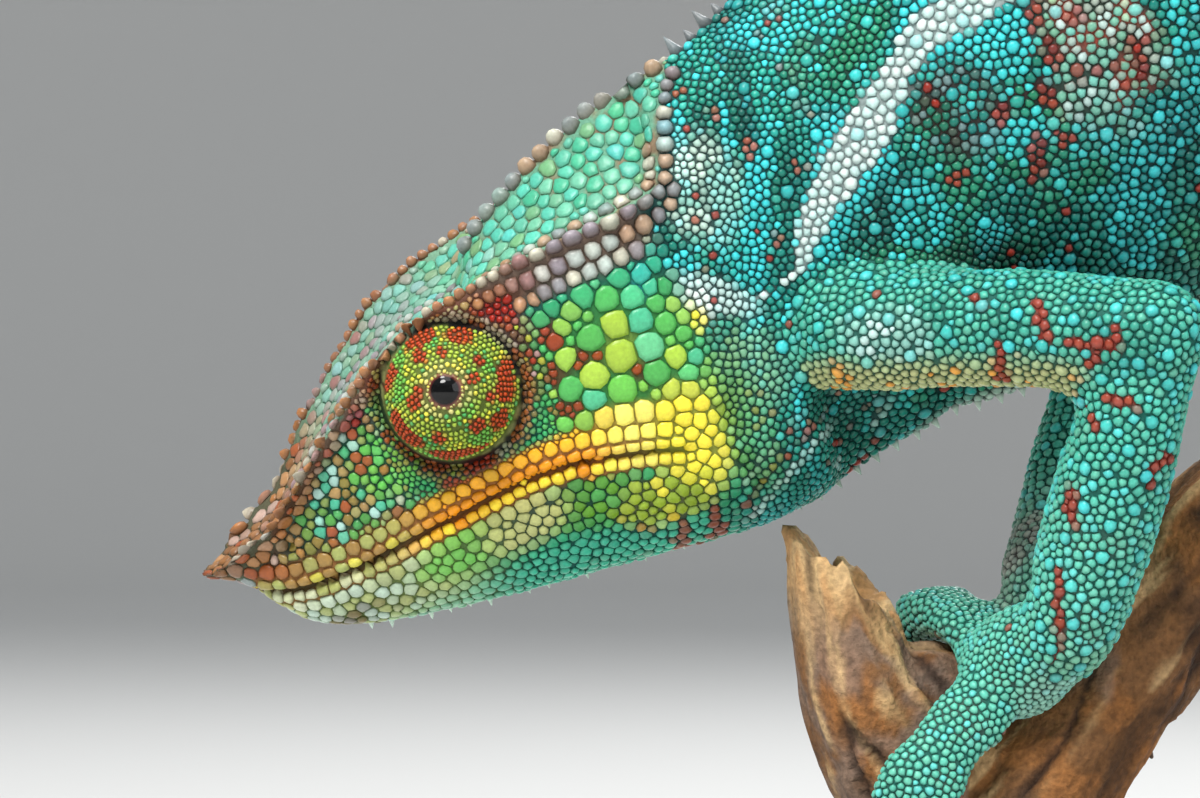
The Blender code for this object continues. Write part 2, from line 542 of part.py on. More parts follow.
solid("stand_base", *ring_solid([base_ring(0, 0), base_ring(high - BASE_BEVEL, 0),
                                 base_ring(high - 0.3 * BASE_BEVEL, 0.3 * BASE_BEVEL),
                                 base_ring(high, BASE_BEVEL)]), "stand")
for name, (x, top) in ROD_PLACES.items():
    profile = ((high + 0.15, ROD_FLANGE_RADIUS), (high + ROD_FLANGE_HEIGHT - 0.6, ROD_FLANGE_RADIUS),
               (high + ROD_FLANGE_HEIGHT, ROD_FLANGE_RADIUS - 0.6), (high + ROD_FLANGE_HEIGHT + 1.0, ROD_RADIUS),
               (top, ROD_RADIUS))
    rings = [[Vector((x + r * math.cos(a), r * math.sin(a), z)) - OFFSET
              for a in (2 * math.pi * k / 14 for k in range(14))] for z, r in profile]
    rod = solid(name, *ring_solid(rings), "rod")
    boolean(rod, main_grown, "DIFFERENCE")
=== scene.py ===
"""Looks of the panther chameleon: one skin over the whole animal, a coat of solid scales, eyes, claws,
the branch it holds and a stand.

Shapes are worked out in millimetres in the working frame of the part (X from snout to tail, Y away from the
animal's left side, Z up) and carried to the row frame, in metres, by OFFSET and MM.
"""

import math
import time

import bpy
import numpy as np
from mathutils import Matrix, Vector
from mathutils.bvhtree import BVHTree
from mathutils.kdtree import KDTree


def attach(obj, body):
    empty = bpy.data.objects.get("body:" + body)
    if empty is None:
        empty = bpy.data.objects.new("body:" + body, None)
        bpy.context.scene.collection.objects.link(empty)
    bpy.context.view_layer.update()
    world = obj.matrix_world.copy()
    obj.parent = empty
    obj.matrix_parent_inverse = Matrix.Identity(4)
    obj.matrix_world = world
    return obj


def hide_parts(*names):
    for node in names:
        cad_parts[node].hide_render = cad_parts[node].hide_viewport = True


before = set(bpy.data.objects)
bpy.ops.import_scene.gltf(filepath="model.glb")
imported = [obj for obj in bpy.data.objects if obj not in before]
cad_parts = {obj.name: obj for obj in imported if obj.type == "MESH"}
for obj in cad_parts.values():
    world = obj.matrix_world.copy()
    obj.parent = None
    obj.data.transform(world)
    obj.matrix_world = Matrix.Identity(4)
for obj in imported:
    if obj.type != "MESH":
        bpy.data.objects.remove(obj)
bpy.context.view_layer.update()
scene = bpy.context.scene
started = time.perf_counter()


def note(what):
    print("%6.1f s  %s" % (time.perf_counter() - started, what))


MM = 0.001
OFFSET = np.array((-70.0, 0.0, 107.0))
COAT_DEPTH = 0.32  # how far the skin lies inside the flesh

# ---------------------------------------------------------------- the shape's measures, as in the part
HEAD_ORIGIN = np.array((7.6, 0.0, -4.3))
HEAD_PITCH, HEAD_ROLL, HEAD_PIVOT = math.radians(20.0), math.radians(18.0), 10.0
HEAD_FRONT, HEAD_REAR, MOUTH_FRONT = 43.4, -12.0, 38.6
RIDGE_Y = ((-12, 0.6), (-9.6, 1.4), (-5.4, 6.6), (-3, 7.8), (1.4, 8.6), (6, 8.8), (10, 8.6), (16, 8.1),
           (22, 7.5), (29.6, 6.4), (36, 4.9), (41, 3.4), (43.4, 1.9))
RIDGE_W = ((-12, 30), (-9.6, 32.6), (-5.4, 24.9), (-3, 24.5), (6, 23.9), (10, 23.5), (16, 22.3), (19, 21.5),
           (22, 19.9), (26, 17.0), (29.6, 13.9), (33, 10.7), (36, 8.0), (41, 5.9), (43.4, 4.9))
CROWN_W = ((-12, 30.5), (-9.6, 34.0), (-3, 32.6), (2.4, 30.6), (7.5, 27.8), (12.4, 24.2), (13.8, 21.4),
           (18.5, 20.2), (22, 18.3), (26, 15.6), (29.6, 12.7), (33, 9.6), (36, 7.2), (41, 5.4), (43.4, 4.8))
LIP_Y = ((-12, 9.6), (-7, 11.3), (-3, 11.7), (1.4, 11.5), (10, 10.7), (18.5, 9.3), (26, 7.5), (33, 5.3),
         (36.4, 3.9), (38.6, 2.5), (41, 1.8), (43.4, 0.9))
LIP_W = ((-12, 1.0), (-5, 2.4), (0, 3.7), (3.3, 4.6), (11, 5.7), (23, 3.7), (30.7, 1.9), (36, 1.3),
         (38.6, 1.5), (41, 3.6), (43.4, 4.2))
THROAT_W = ((-12, -7.0), (-7, -7.8), (0, -7.6), (8, -7.1), (18, -6.4), (28, -5.2), (33, -4.1), (36.2, -2.4),
            (38.6, 0.6), (41, 3.1), (43.4, 4.0))
TEMPLE_BULGE = ((-12, 0.0), (-6, 0.4), (2, 0.7), (10, 0.9), (18, 0.7), (26, -0.5), (33, -0.6), (43.4, 0.0))
CHEEK_BULGE = ((-12, 0.0), (-5, 0.2), (4, 0.5), (14, 0.4), (22, 0.2), (30, -0.2), (43.4, 0.1))
EYE_U, EYE_Y, EYE_W = 17.4, 7.9, 14.6
TURRET_RADIUS, EYEBALL_RADIUS = 6.2, 2.2
GAZES = {1: (0.06, 1.0, 0.39), -1: (0.35, 1.0, -0.12)}

BACK = ((3, 27), (7.5, 31), (12, 35.5), (18, 41.8), (26, 50), (37, 61), (50, 73.5), (66, 85), (82, 94),
        (97, 100.5), (110, 104), (122, 105), (133, 104))
BELLY = ((9, -10), (17.5, -9.3), (24.5, -5.6), (31.5, -1.2), (40, 2), (52, 7.5), (67, 17.5), (83, 31),
         (97.5, 45.5), (110, 60), (121, 71.5), (130, 80), (138, 87))
HALF_WIDTH = (8.6, 9.6, 10.6, 12.2, 14.2, 16.0, 17.2, 17.2, 15.8, 13.4, 10.8, 8.4, 6.6)
NECK_LEAN = math.radians(18.0)
TAIL_START, TAIL_LENGTH = np.array((135.5, 0.0, 95.5)), 226.0
TAIL_HEADING = ((0, 16), (18, 2), (40, -32), (62, -66), (88, -90), (112, -104), (135, -135), (158, -190),
                (180, -256), (203, -336), (226, -412))
TAIL_DEPTH = ((0, 8.8), (30, 7.2), (60, 5.9), (100, 4.4), (140, 3.2), (180, 2.2), (214, 1.35), (226, 0.8))
TAIL_FLATNESS = ((0, 0.74), (60, 0.82), (226, 0.95))
TAIL_DRIFT = ((0, 0), (60, -2), (120, -4), (170, 2), (226, 9))
SPINE_PITCH = 3.5
SPINE_HEIGHT = ((0.9, 1.9), (3, 1.8), (8, 1.3), (12, 0.9))

LIMBS = {
    "front_left": (((21.5, -8.0, 6.0), (46.4, -18.5, 5.0), (39.9, -10.6, -19.6)), (5.6, 5.1, 5.0, 5.0, 4.5)),
    "front_right": (((22.0, 8.0, 7.5), (46.5, 24.0, 7.0), (39.8, 7.8, -11.0)), (5.6, 5.0, 4.5, 4.0, 3.9)),
    "hind_left": (((110.0, -6.5, 79.0), (92.0, -23.0, 66.0), (103.5, -10.5, 47.5)),
                  (7.0, 6.0, 5.0, 4.9, 4.0)),
    "hind_right": (((111.0, 6.5, 80.0), (101.5, 24.0, 64.5), (118.0, 10.5, 57.5)),
                   (7.0, 6.0, 5.0, 4.9, 4.0)),
}
DIGIT_RADIUS, TOE_TIP, CLAW_LENGTH, CLAW_RADIUS = 2.25, 1.55, 3.8, 0.95
FRONT_FEET = {
    "front_left": ((35.9, -6.2, -22.5), (4.0, 4.9, 4.8),
                   (((35.0, -7.4, -24.2), (29.9, -9.5, -28.9), (26.9, -10.3, -33.7), (24.5, -8.6, -39.0)),
                    (2.35, 0.0, -2.1), 2),
                   (((33.4, -2.0, -21.2), (30.8, 2.8, -18.6), (29.2, 6.4, -18.5), (28.2, 8.0, -22.2)),
                    (1.5, 1.9, 0.15), 3)),
    "front_right": ((39.0, 3.4, -15.4), (3.6, 4.3, 4.2),
                    (((38.6, 6.0, -17.5), (40.4, 9.0, -20.0), (42.6, 9.9, -23.6), (44.6, 9.0, -27.4)),
                     (2.6, 0.0, 1.5), 2),
                    (((39.6, 0.8, -13.9), (41.5, -1.8, -11.9), (42.5, -3.6, -12.3), (42.9, -4.6, -14.1)),
                     (1.6, -0.2, 1.1), 3)),
}
FORE_REACH = 62  # X that parts the front limbs from the hind ones
HIND_FEET = {"hind_left": (106.0, -0.45, 3, 2), "hind_right": (122.5, 0.45, 3, 2)}
BRANCH_PATH = ((20, 0, -78), (25, 1, -60), (31.5, 0.5, -43.5), (39.2, 0, -31.8), (51, -0.5, -15.6),
               (70, 0.5, 4), (92, 1, 23), (115, 0, 39.5), (137, -1, 51))
BRANCH_RADIUS = (8.6, 9.2, 8.6, 6.6, 5.9, 6.3, 6.6, 6.2, 5.6)
STUB_PATH = ((33, 0, -48), (30, 0, -40), (26.8, 0, -32.5), (23.0, -0.3, -25), (20.8, -0.5, -17))
STUB_RADIUS = (6.5, 6.4, 6.3, 5.8, 4.7)
WEB_PATH = ((34, 0, -43), (31.2, 0.2, -33), (27.6, 0.3, -24))
WEB_RADIUS = (5.5, 4.8, 3.7)
WOODS = ((BRANCH_PATH, BRANCH_RADIUS), (STUB_PATH, STUB_RADIUS), (WEB_PATH, WEB_RADIUS))

BASE_SIZE, BASE_CORNER, BASE_BEVEL, CORNER_POINTS = (134.0, 92.0, 12.0), 14.0, 2.0, 14
# place along the base and height of the top
ROD_PLACES = {"stand_rod_front": (-47.0, 33.5), "stand_rod_rear": (24.0, 134.0)}


# ---------------------------------------------------------------- small tools
def curve(knots, x):
    """Value at x on a smooth curve through (x, value) knots that never overshoots them."""
    k = np.asarray(knots, float)
    kx, kv = k[:, 0], k[:, 1]
    rise = np.diff(kv) / np.diff(kx)
    a, b = rise[:-1], rise[1:]
    inner = np.where(a * b > 0, 2 * a * b / np.where(a + b == 0, 1, a + b), 0)
    slope = np.concatenate([rise[:1], inner, rise[-1:]])
    x = np.clip(np.asarray(x, float), kx[0], kx[-1])
    i = np.clip(np.searchsorted(kx, x, "right") - 1, 0, len(kx) - 2)
    h = kx[i + 1] - kx[i]
    t = (x - kx[i]) / h
    return ((1 + 2 * t) * (1 - t) ** 2 * kv[i] + t * (1 - t) ** 2 * h * slope[i]
            + t * t * (3 - 2 * t) * kv[i + 1] + t * t * (t - 1) * h * slope[i + 1])


def along(points, t):
    """Points at index t on a Catmull-Rom curve through the points."""
    p, t = np.asarray(points, float), np.asarray(t, float)
    i = np.clip(t.astype(int), 0, len(p) - 2)
    f = (t - i)[..., None]
    wide = np.vstack([2 * p[:1] - p[1:2], p, 2 * p[-1:] - p[-2:-1]])
    p0, p1, p2, p3 = (wide[i + k] for k in range(4))
    return 0.5 * (2 * p1 + (p2 - p0) * f + (2 * p0 - 5 * p1 + 4 * p2 - p3) * f ** 2
                  + (3 * p1 - p0 - 3 * p2 + p3) * f ** 3)


def unit(v):
    return v / np.maximum(np.linalg.norm(v, axis=-1, keepdims=True), 1e-12)


def ramp(x, low, high):
    """0 below low, 1 above high, smooth between; low may be the greater."""
    t = np.clip((x - low) / (high - low), 0, 1)
    return t * t * (3 - 2 * t)


def bell(x, width):
    """1 at zero, falling smoothly to about a third at one width."""
    return np.exp(-(x / width) ** 2)


def spot(a, b, centre, radii):
    """1 at the centre of an oval on two coordinates, 0.5 about its edge, 0 well outside."""
    d = np.hypot((a - centre[0]) / radii[0], (b - centre[1]) / radii[1])
    return ramp(d, 1.35, 0.65)


def noise(p, size, seed=0):
    """Smooth noise from -1 to 1 whose blotches are about size across."""
    q = np.asarray(p, float) / size + 31.7 * (seed + 1)
    cell = np.floor(q).astype(np.int64)
    f = q - cell
    f = f * f * (3 - 2 * f)
    total = np.zeros(len(q))
    for corner in range(8):
        step = np.array([(corner >> k) & 1 for k in range(3)])
        n = cell + step
        h = (n[:, 0] * 73856093) ^ (n[:, 1] * 19349663) ^ (n[:, 2] * 83492791) ^ (seed * 2654435 + 977)
        h = (h ^ (h >> 15)) * 1103515245 & 0x7FFFFFFF
        h = (h ^ (h >> 13)) * 1274126177 & 0x7FFFFFFF
        total += np.prod(np.where(step, f, 1 - f), 1) * (((h ^ (h >> 16)) & 0xFFFFF) / 0x7FFFF - 1)
    return total


def rough(p, size, seed=0, octaves=3):
    """Noise with finer noise laid over it."""
    total = sum(noise(p, size / 2 ** k, seed + k) / 2 ** k for k in range(octaves))
    return total / (2 - 0.5 ** (octaves - 1))


def loft(rings, start=None, end=None):
    """Points and triangles of a closed body through rings of equal count, with fans at both ends."""
    rings = np.asarray(rings, float)
    count, sides = rings.shape[:2]
    index = np.arange(count * sides).reshape(count, sides)
    turned = np.roll(index, -1, 1)
    a, b, c, d = index[:-1], turned[:-1], turned[1:], index[1:]
    tris = [np.stack([a, b, c], -1).reshape(-1, 3), np.stack([a, c, d], -1).reshape(-1, 3)]
    tips = []
    for row, tip in ((0, start), (-1, end)):
        tips.append(rings[row].mean(0) if tip is None else np.asarray(tip, float))
        middle = np.full(sides, count * sides + len(tips) - 1)
        fan = np.stack([turned[row], index[row], middle], 1)
        tris.append(fan if row == 0 else fan[:, ::-1])
    return np.vstack([rings.reshape(-1, 3), tips]), np.vstack(tris)


def tube(path, radii, sides=20, steps=16, flat=1.0, across=None, caps=(True, True)):
    """A tube on a smooth path, with round ends where caps says; flat squeezes it crossways."""
    places = np.linspace(0, 1, steps + 1)
    centres = along(path, (len(path) - 1) * places)
    runs = unit(np.gradient(centres, axis=0))
    widths = curve(tuple((k / (len(radii) - 1), r) for k, r in enumerate(radii)), places)
    side = np.asarray(across, float) if across is not None else np.cross(
        runs[0], (0, 0, 1) if abs(runs[0][2]) < 0.9 else (1, 0, 0))
    angle = np.linspace(0, 2 * np.pi, sides, endpoint=False)
    rings = []
    for k, (centre, run, width) in enumerate(zip(centres, runs, widths)):
        side = unit(side - side.dot(run) * run)
        up = unit(np.cross(side, run))
        shape = np.cos(angle)[:, None] * side + flat * np.sin(angle)[:, None] * up
        body = centre + width * shape
        bends = (0.96, 0.8, 0.55, 0.25) if (k == 0 and caps[0]) or (k == steps and caps[1]) else ()
        way = -1 if k == 0 else 1
        hood = [centre + way * s * width * run + math.sqrt(1 - s * s) * width * shape for s in bends]
        rings += hood + [body] if k == 0 else [body] + hood[::-1]
    start = centres[0] - runs[0] * widths[0] if caps[0] else None
    end = centres[-1] + runs[-1] * widths[-1] if caps[1] else None
    return loft(rings, start, end)


def ball(centre, radius, axis, rings, sides):
    turn = np.array(Vector((0, 0, 1)).rotation_difference(Vector(axis)).to_matrix())
    lat = np.pi * np.arange(1, rings) / rings
    lon = np.linspace(0, 2 * np.pi, sides, endpoint=False)
    grid = np.stack([np.sin(lat)[:, None] * np.cos(lon), np.sin(lat)[:, None] * np.sin(lon),
                     np.cos(lat)[:, None] + 0 * lon], -1)
    pole = turn @ np.array((0, 0, radius))
    return loft(centre + radius * grid @ turn.T, centre + pole, centre - pole)


def new_mesh(name, points, tris, in_mm=True):
    mesh = bpy.data.meshes.new(name)
    place = (points + OFFSET) * MM if in_mm else points
    mesh.vertices.add(len(points))
    mesh.vertices.foreach_set("co", np.ascontiguousarray(place, np.float32).ravel())
    mesh.loops.add(3 * len(tris))
    mesh.loops.foreach_set("vertex_index", np.ascontiguousarray(tris, np.int32).ravel())
    mesh.polygons.add(len(tris))
    mesh.polygons.foreach_set("loop_start", np.arange(0, 3 * len(tris), 3, dtype=np.int32))
    mesh.polygons.foreach_set("use_smooth", np.ones(len(tris), bool))
    mesh.update(calc_edges=True)
    return mesh


def new_object(name, mesh):
    obj = bpy.data.objects.new(name, mesh)
    scene.collection.objects.link(obj)
    return obj


def settled(mesh, kind, **values):
    """The points and triangles that one modifier makes of a mesh."""
    obj = new_object("work", mesh)
    step = obj.modifiers.new("step", kind)
    for name, value in values.items():
        setattr(step, name, value)
    bpy.context.view_layer.update()
    made = bpy.data.meshes.new_from_object(obj.evaluated_get(bpy.context.evaluated_depsgraph_get()))
    bpy.data.objects.remove(obj)
    points, tris = arrays(made)
    bpy.data.meshes.remove(made)
    return points, tris


def arrays(mesh):
    points = np.empty(len(mesh.vertices) * 3, np.float32)
    mesh.vertices.foreach_get("co", points)
    mesh.calc_loop_triangles()
    tris = np.empty(len(mesh.loop_triangles) * 3, np.int32)
    mesh.loop_triangles.foreach_get("vertices", tris)
    return points.reshape(-1, 3).astype(float), tris.reshape(-1, 3)


def joined(pieces):
    """One set of points and triangles from several, with the number of the piece each triangle came from."""
    shift, points, tris, label = 0, [], [], []
    for k, (p, t) in enumerate(pieces):
        points.append(p)
        tris.append(t + shift)
        label.append(np.full(len(t), k))
        shift += len(p)
    return np.vstack(points), np.vstack(tris), np.concatenate(label)


def edges_of(tris):
    """Each edge once, as one number, and the base that parts it into two points."""
    ends = np.sort(np.concatenate([tris[:, [0, 1]], tris[:, [1, 2]], tris[:, [2, 0]]]), axis=1)
    return np.unique(ends[:, 0].astype(np.int64) * (ends.max() + 1) + ends[:, 1]), ends.max() + 1


def largest(points, tris):
    """The biggest connected body alone."""
    label, (a, b) = np.arange(len(points)), (tris[:, [0, 1, 2]].ravel(), tris[:, [1, 2, 0]].ravel())
    while True:
        before = label.copy()
        low = np.minimum(label[a], label[b])
        np.minimum.at(label, a, low)
        np.minimum.at(label, b, low)
        label = label[label]
        if (label == before).all():
            break
    keep = label == np.bincount(label).argmax()
    index = np.cumsum(keep) - 1
    return points[keep], index[tris[keep[tris[:, 0]]]]


def fused(points, tris, voxel):
    """One closed body round several that overlap, from a voxel remesh."""
    mesh = new_mesh("fused", points, tris, in_mm=False)
    return largest(*settled(mesh, "REMESH", mode="VOXEL", voxel_size=voxel))


def point_pairs(tris):
    """The two ends of every edge."""
    code, base = edges_of(tris)
    return code // base, code % base


def relaxed(points, pairs, weight, rounds):
    """Laplacian smoothing by one weight, or by a weight for each point."""
    a, b = pairs
    weight = np.broadcast_to(weight, len(points))
    count = np.maximum(np.bincount(a, minlength=len(points)) + np.bincount(b, minlength=len(points)), 1)
    for _ in range(rounds):
        mean = np.stack([(np.bincount(a, points[b, k], len(points))
                          + np.bincount(b, points[a, k], len(points))) / count
                         for k in range(points.shape[1])], 1)
        points = points + weight[:, None] * (mean - points)
    return points


def kd_tree(points):
    tree = KDTree(len(points))
    for k, point in enumerate(np.asarray(points).tolist()):
        tree.insert(point, k)
    tree.balance()
    return tree


def nearest_rows(points, places):
    """The row of points that lies nearest to each place."""
    tree = kd_tree(points)
    return np.array([tree.find(p)[1] for p in places.tolist()])


def normals_of(points, tris):
    p = points[tris]
    face = np.cross(p[:, 1] - p[:, 0], p[:, 2] - p[:, 0])
    total = np.stack([sum(np.bincount(tris[:, c], face[:, k], len(points)) for c in range(3))
                      for k in range(3)], 1)
    return unit(total)


# ---------------------------------------------------------------- head frame
CP, SP = math.cos(HEAD_PITCH), math.sin(HEAD_PITCH)
CR, SR = math.cos(HEAD_ROLL), math.sin(HEAD_ROLL)


def head_point(u, y, w):
    """From the head (ahead, left, up) to the working frame."""
    u, y, w = np.broadcast_arrays(*(np.asarray(v, float) for v in (u, y, w)))
    lean = w * CR - y * SR
    depth = -(y * CR + (w - HEAD_PIVOT) * SR)
    return HEAD_ORIGIN + np.stack([-u * CP - lean * SP, depth, -u * SP + lean * CP], -1)


def head_turn(u, y, w):
    return unit(head_point(u, y, w) - head_point(0, 0, 0))


def head_places(p):
    """From the working frame to the head: ahead, left, up."""
    d = p - HEAD_ORIGIN
    u = -(d[:, 0] * CP + d[:, 2] * SP)
    lean = -d[:, 0] * SP + d[:, 2] * CP
    out = HEAD_PIVOT * SR - d[:, 1]
    return u, out * CR - lean * SR, out * SR + lean * CR


def lip_rise(u, w):
    """Height over the line of the mouth."""
    return w - curve(LIP_W, np.minimum(u, MOUTH_FRONT))


def head_measures(p):
    """Head places, distance from the middle, height on the rolled head, height over the mouth."""
    u, y, w = head_places(p)
    side = np.abs(y)
    return u, y, w, side, w * CR - side * SR, lip_rise(u, w)


def head_ring(u, spans=7):
    ridge_y, ridge_w = curve(RIDGE_Y, u), curve(RIDGE_W, u)
    crown, lip_y, lip_w, throat = curve(CROWN_W, u), curve(LIP_Y, u), curve(LIP_W, u), curve(THROAT_W, u)
    tall, deep = ridge_w - lip_w, lip_w - throat
    side = ((ridge_y, ridge_w),
            (0.62 * ridge_y + 0.38 * lip_y + curve(TEMPLE_BULGE, u), ridge_w - 0.30 * tall),
            (0.2 * ridge_y + 0.8 * lip_y + curve(CHEEK_BULGE, u), lip_w + 0.33 * tall), (lip_y, lip_w),
            (0.93 * lip_y, lip_w - 0.45 * deep), (0.62 * lip_y, throat + 0.12 * deep), (0.0, throat - 0.35))
    f = np.arange(spans) / spans
    roof = np.stack([f * ridge_y, crown + f * (ridge_w - crown) - 2.2 * f * (1 - f)], 1)
    down = along([(y, w, 0.0) for y, w in side], np.arange(6 * spans + 1) / spans)[:, :2]
    down[:, 0] = np.maximum(down[:, 0], 0)
    half = np.vstack([roof, down])
    half[-1, 0] = 0
    whole = np.vstack([half, (half * (-1, 1))[-2:0:-1]])
    return head_point(u, whole[:, 0], whole[:, 1])


def station_line(t):
    return along([(x, 0, z) for x, z in BACK], t), along([(x, 0, z) for x, z in BELLY], t)


def sway(t, v, tall):
    """Sideways place of the body's middle line: it follows the head's roll as far as the shoulder."""
    return -(math.sin(NECK_LEAN) * np.maximum(0, 1 - t / 4) * (0.5 - v) * tall) - np.maximum(0, 1 - t / 3)


def body_ring(t, sides=72):
    back, belly = station_line(t)
    width = along([(w, 0, 0) for w in HALF_WIDTH], t)[0]
    a = 2 * np.pi * np.arange(sides) / sides
    v = 0.5 * (1 - np.cos(a))
    p = back + (belly - back) * v[:, None]
    y = width * np.sin(np.pi * np.clip(v, 1e-9, 1 - 1e-9) ** 0.86) ** 0.72
    p[:, 1] = np.where(a < np.pi, -y, y) + sway(t, v, np.linalg.norm(back - belly))
    return p


def tail_line():
    """The tail's middle line, a point each millimetre."""
    point, found = TAIL_START.copy(), []
    for s in range(int(TAIL_LENGTH) + 1):
        heading = math.radians(float(curve(TAIL_HEADING, s)))
        found.append((point[0], float(curve(TAIL_DRIFT, s)), point[2]))
        point = point + np.array((math.cos(heading), 0, math.sin(heading)))
    return np.array(found)


TAIL_LINE = tail_line()


def tail_ring(s, sides=28):
    heading = math.radians(float(curve(TAIL_HEADING, s)))
    centre = along(TAIL_LINE, max(s, 0.0)) + min(s, 0.0) * np.array((math.cos(heading), 0, math.sin(heading)))
    up = np.array((-math.sin(heading), 0, math.cos(heading)))
    depth = curve(TAIL_DEPTH, s)
    a = 2 * np.pi * np.arange(sides)[:, None] / sides
    return centre + up * depth * np.cos(a) - np.array((0, depth * curve(TAIL_FLATNESS, s), 0)) * np.sin(a)


def branch_at(x):
    """Middle, direction and radius of the branch where it passes an X."""
    t = 0.0
    while along(BRANCH_PATH, t)[0] < x:
        t += 0.01
    run = unit(along(BRANCH_PATH, t + 0.02) - along(BRANCH_PATH, t - 0.02))
    return along(BRANCH_PATH, t), run, float(curve(tuple(enumerate(BRANCH_RADIUS)), t))


def foot_plan(limb):
    """Palm centre and half-thicknesses; each bundle's middle path, step between toes and number of toes."""
    if limb in FRONT_FEET:
        palm, size, outer, inner = FRONT_FEET[limb]
        return np.array(palm), size, (outer, inner)
    place, turn, outside, inside = HIND_FEET[limb]
    centre, run, radius = branch_at(place)
    level = np.array((0, -1 if turn < 0 else 1, 0))
    top = unit(np.cross(run, (0, 1, 0)))
    top = top if top[2] > 0 else -top
    palm = centre + unit(top * math.cos(turn) + np.array((0, math.sin(turn), 0))) * (radius + 3.4)
    bundles = []
    for side, count in ((1, outside), (-1, inside)):
        path = []
        for k, angle in enumerate((0.35, 0.95, 1.6, 2.2)):
            swing = abs(turn) + side * angle
            spoke = top * math.cos(swing) + level * math.sin(swing)
            path.append(centre + spoke * (radius + 2.1) - run * (1.2 * k - 0.5) * side)
        bundles.append((path, run * 3.0, count))
    return palm, (3.5, 4.5, 4.4), bundles


# ---------------------------------------------------------------- one closed skin
HEAD, EYE_L, EYE_R, BODY, TAIL, UPPER, LOWER, FOOT = range(8)
EYE_ZONES = {1: EYE_L, -1: EYE_R}  # by hand: 1 is left, -1 is right
shapes, kinds, claw_runs = [], [], {}


def add(kind, shape):
    shapes.append(shape)
    kinds.append(kind)


head_stations = np.arange(HEAD_FRONT, HEAD_REAR - 0.01, -0.4)
add(HEAD, loft([head_ring(u) for u in head_stations], head_point(HEAD_FRONT + 0.5, 0, 4.5)))
eyes = {}
for hand, (ahead, out, rise) in GAZES.items():
    eyes[hand] = (head_point(EYE_U, hand * EYE_Y, EYE_W), head_turn(ahead, hand * out, rise))
    add(EYE_ZONES[hand], ball(eyes[hand][0], TURRET_RADIUS, eyes[hand][1], 36, 60))
add(BODY, loft([body_ring(t) for t in np.arange(0, 12.001, 0.1)]))
add(TAIL, loft([tail_ring(s) for s in np.arange(-5.0, TAIL_LENGTH - 0.2, 1.0)]))
for limb, (joints, r) in LIMBS.items():
    root, bend, end = (np.array(j) for j in joints)
    add(UPPER, tube((root, 0.5 * (root + bend) + (0, 0, 0.6), bend), r[:3], 28, 20))
    add(LOWER, tube((bend + 0.05 * (end - bend), 0.5 * (bend + end), end), (0.9 * r[2], r[3], r[4]), 28, 20))
    palm, size, bundles = foot_plan(limb)
    add(FOOT, tube((end, palm, palm + 0.2 * (palm - end)), size, 24, 10))
    claw_runs[limb] = []
    for path, step, count in bundles:
        path, step = np.array(path, float), np.array(step, float)
        half = 0.5 * (count - 1) * np.linalg.norm(step) + 0.92 * DIGIT_RADIUS
        run = [path[0] + 0.3 * (palm - path[0]), path[1], path[2], along(path, 2.45)]
        add(FOOT, tube(run, (0.8 * half, half, half, 0.8 * half), 30, 14, flat=DIGIT_RADIUS / half,
                       across=step))
        for k in range(count):
            shift = step * (k - (count - 1) / 2)
            digit = [p + shift * (0.55 if i == 0 else 1.0) for i, p in enumerate(path)]
            add(FOOT, tube(along(digit, np.array((1.1, 1.8, 2.4, 3.0))),
                           (0.9 * DIGIT_RADIUS, 1.03 * DIGIT_RADIUS, 0.95 * DIGIT_RADIUS, TOE_TIP), 18, 10))
            last, run = digit[-1], unit(digit[-1] - digit[-2])
            bent = unit(run - 0.45 * unit(digit[-2] - digit[-3]))
            claw_runs[limb].append((last + run * 0.3 * TOE_TIP, last + run * (TOE_TIP + 1.2),
                                    last + run * (TOE_TIP + 2.0) + bent * 0.9,
                                    last + run * (TOE_TIP + 2.1) + bent * (CLAW_LENGTH - 1.9)))

raw_points, raw_tris, raw_label = joined(shapes)
kind_of_face = np.array(kinds)[raw_label]
VOXEL = 0.45
skin_points, skin_tris = fused(raw_points, raw_tris, VOXEL)
note("skin of %d points, %d triangles" % (len(skin_points), len(skin_tris)))

raw_tree = BVHTree.FromPolygons(raw_points.tolist(), raw_tris.tolist())
nearest_face = np.array([raw_tree.find_nearest(p)[2] for p in skin_points.tolist()])
part = raw_label[nearest_face]
zone = kind_of_face[nearest_face]
pairs = point_pairs(skin_tris)
note("zones")

# joins between unlike parts are softened as living skin is; each eye keeps its rim
soft_group = np.where(np.isin(zone, (EYE_L, EYE_R)), 0, part + 1)
apart = soft_group[pairs[0]] != soft_group[pairs[1]]
apart &= (soft_group[pairs[0]] > 0) & (soft_group[pairs[1]] > 0)
seam = np.zeros(len(skin_points))
seam[pairs[0][apart]] = 1
seam[pairs[1][apart]] = 1
u, y, w = head_places(skin_points)
seam[(w > 21) & (u > -16) & np.isin(zone, (HEAD, BODY))] = 0  # the casque keeps its peak
neck_join = (u > -24) & (u < 0) & np.isin(zone, (HEAD, BODY))
reach = np.where(zone == FOOT, 3, np.where(neck_join, 15, 10))
a, b = pairs
for k in range(15):
    top = seam.copy()
    np.maximum.at(top, a, seam[b] * (reach[a] > k))
    np.maximum.at(top, b, seam[a] * (reach[b] > k))
    seam = top
seam *= ramp(w, 23, 19) + (u < -17) + (u > 46)
seam = relaxed(np.clip(seam, 0, 1)[:, None], pairs, 0.6, 8)[:, 0]
skin_points = relaxed(skin_points, pairs, 0.5 * seam, 60)
skin_points = relaxed(skin_points, pairs, 0.5, 3)
note("joins softened")


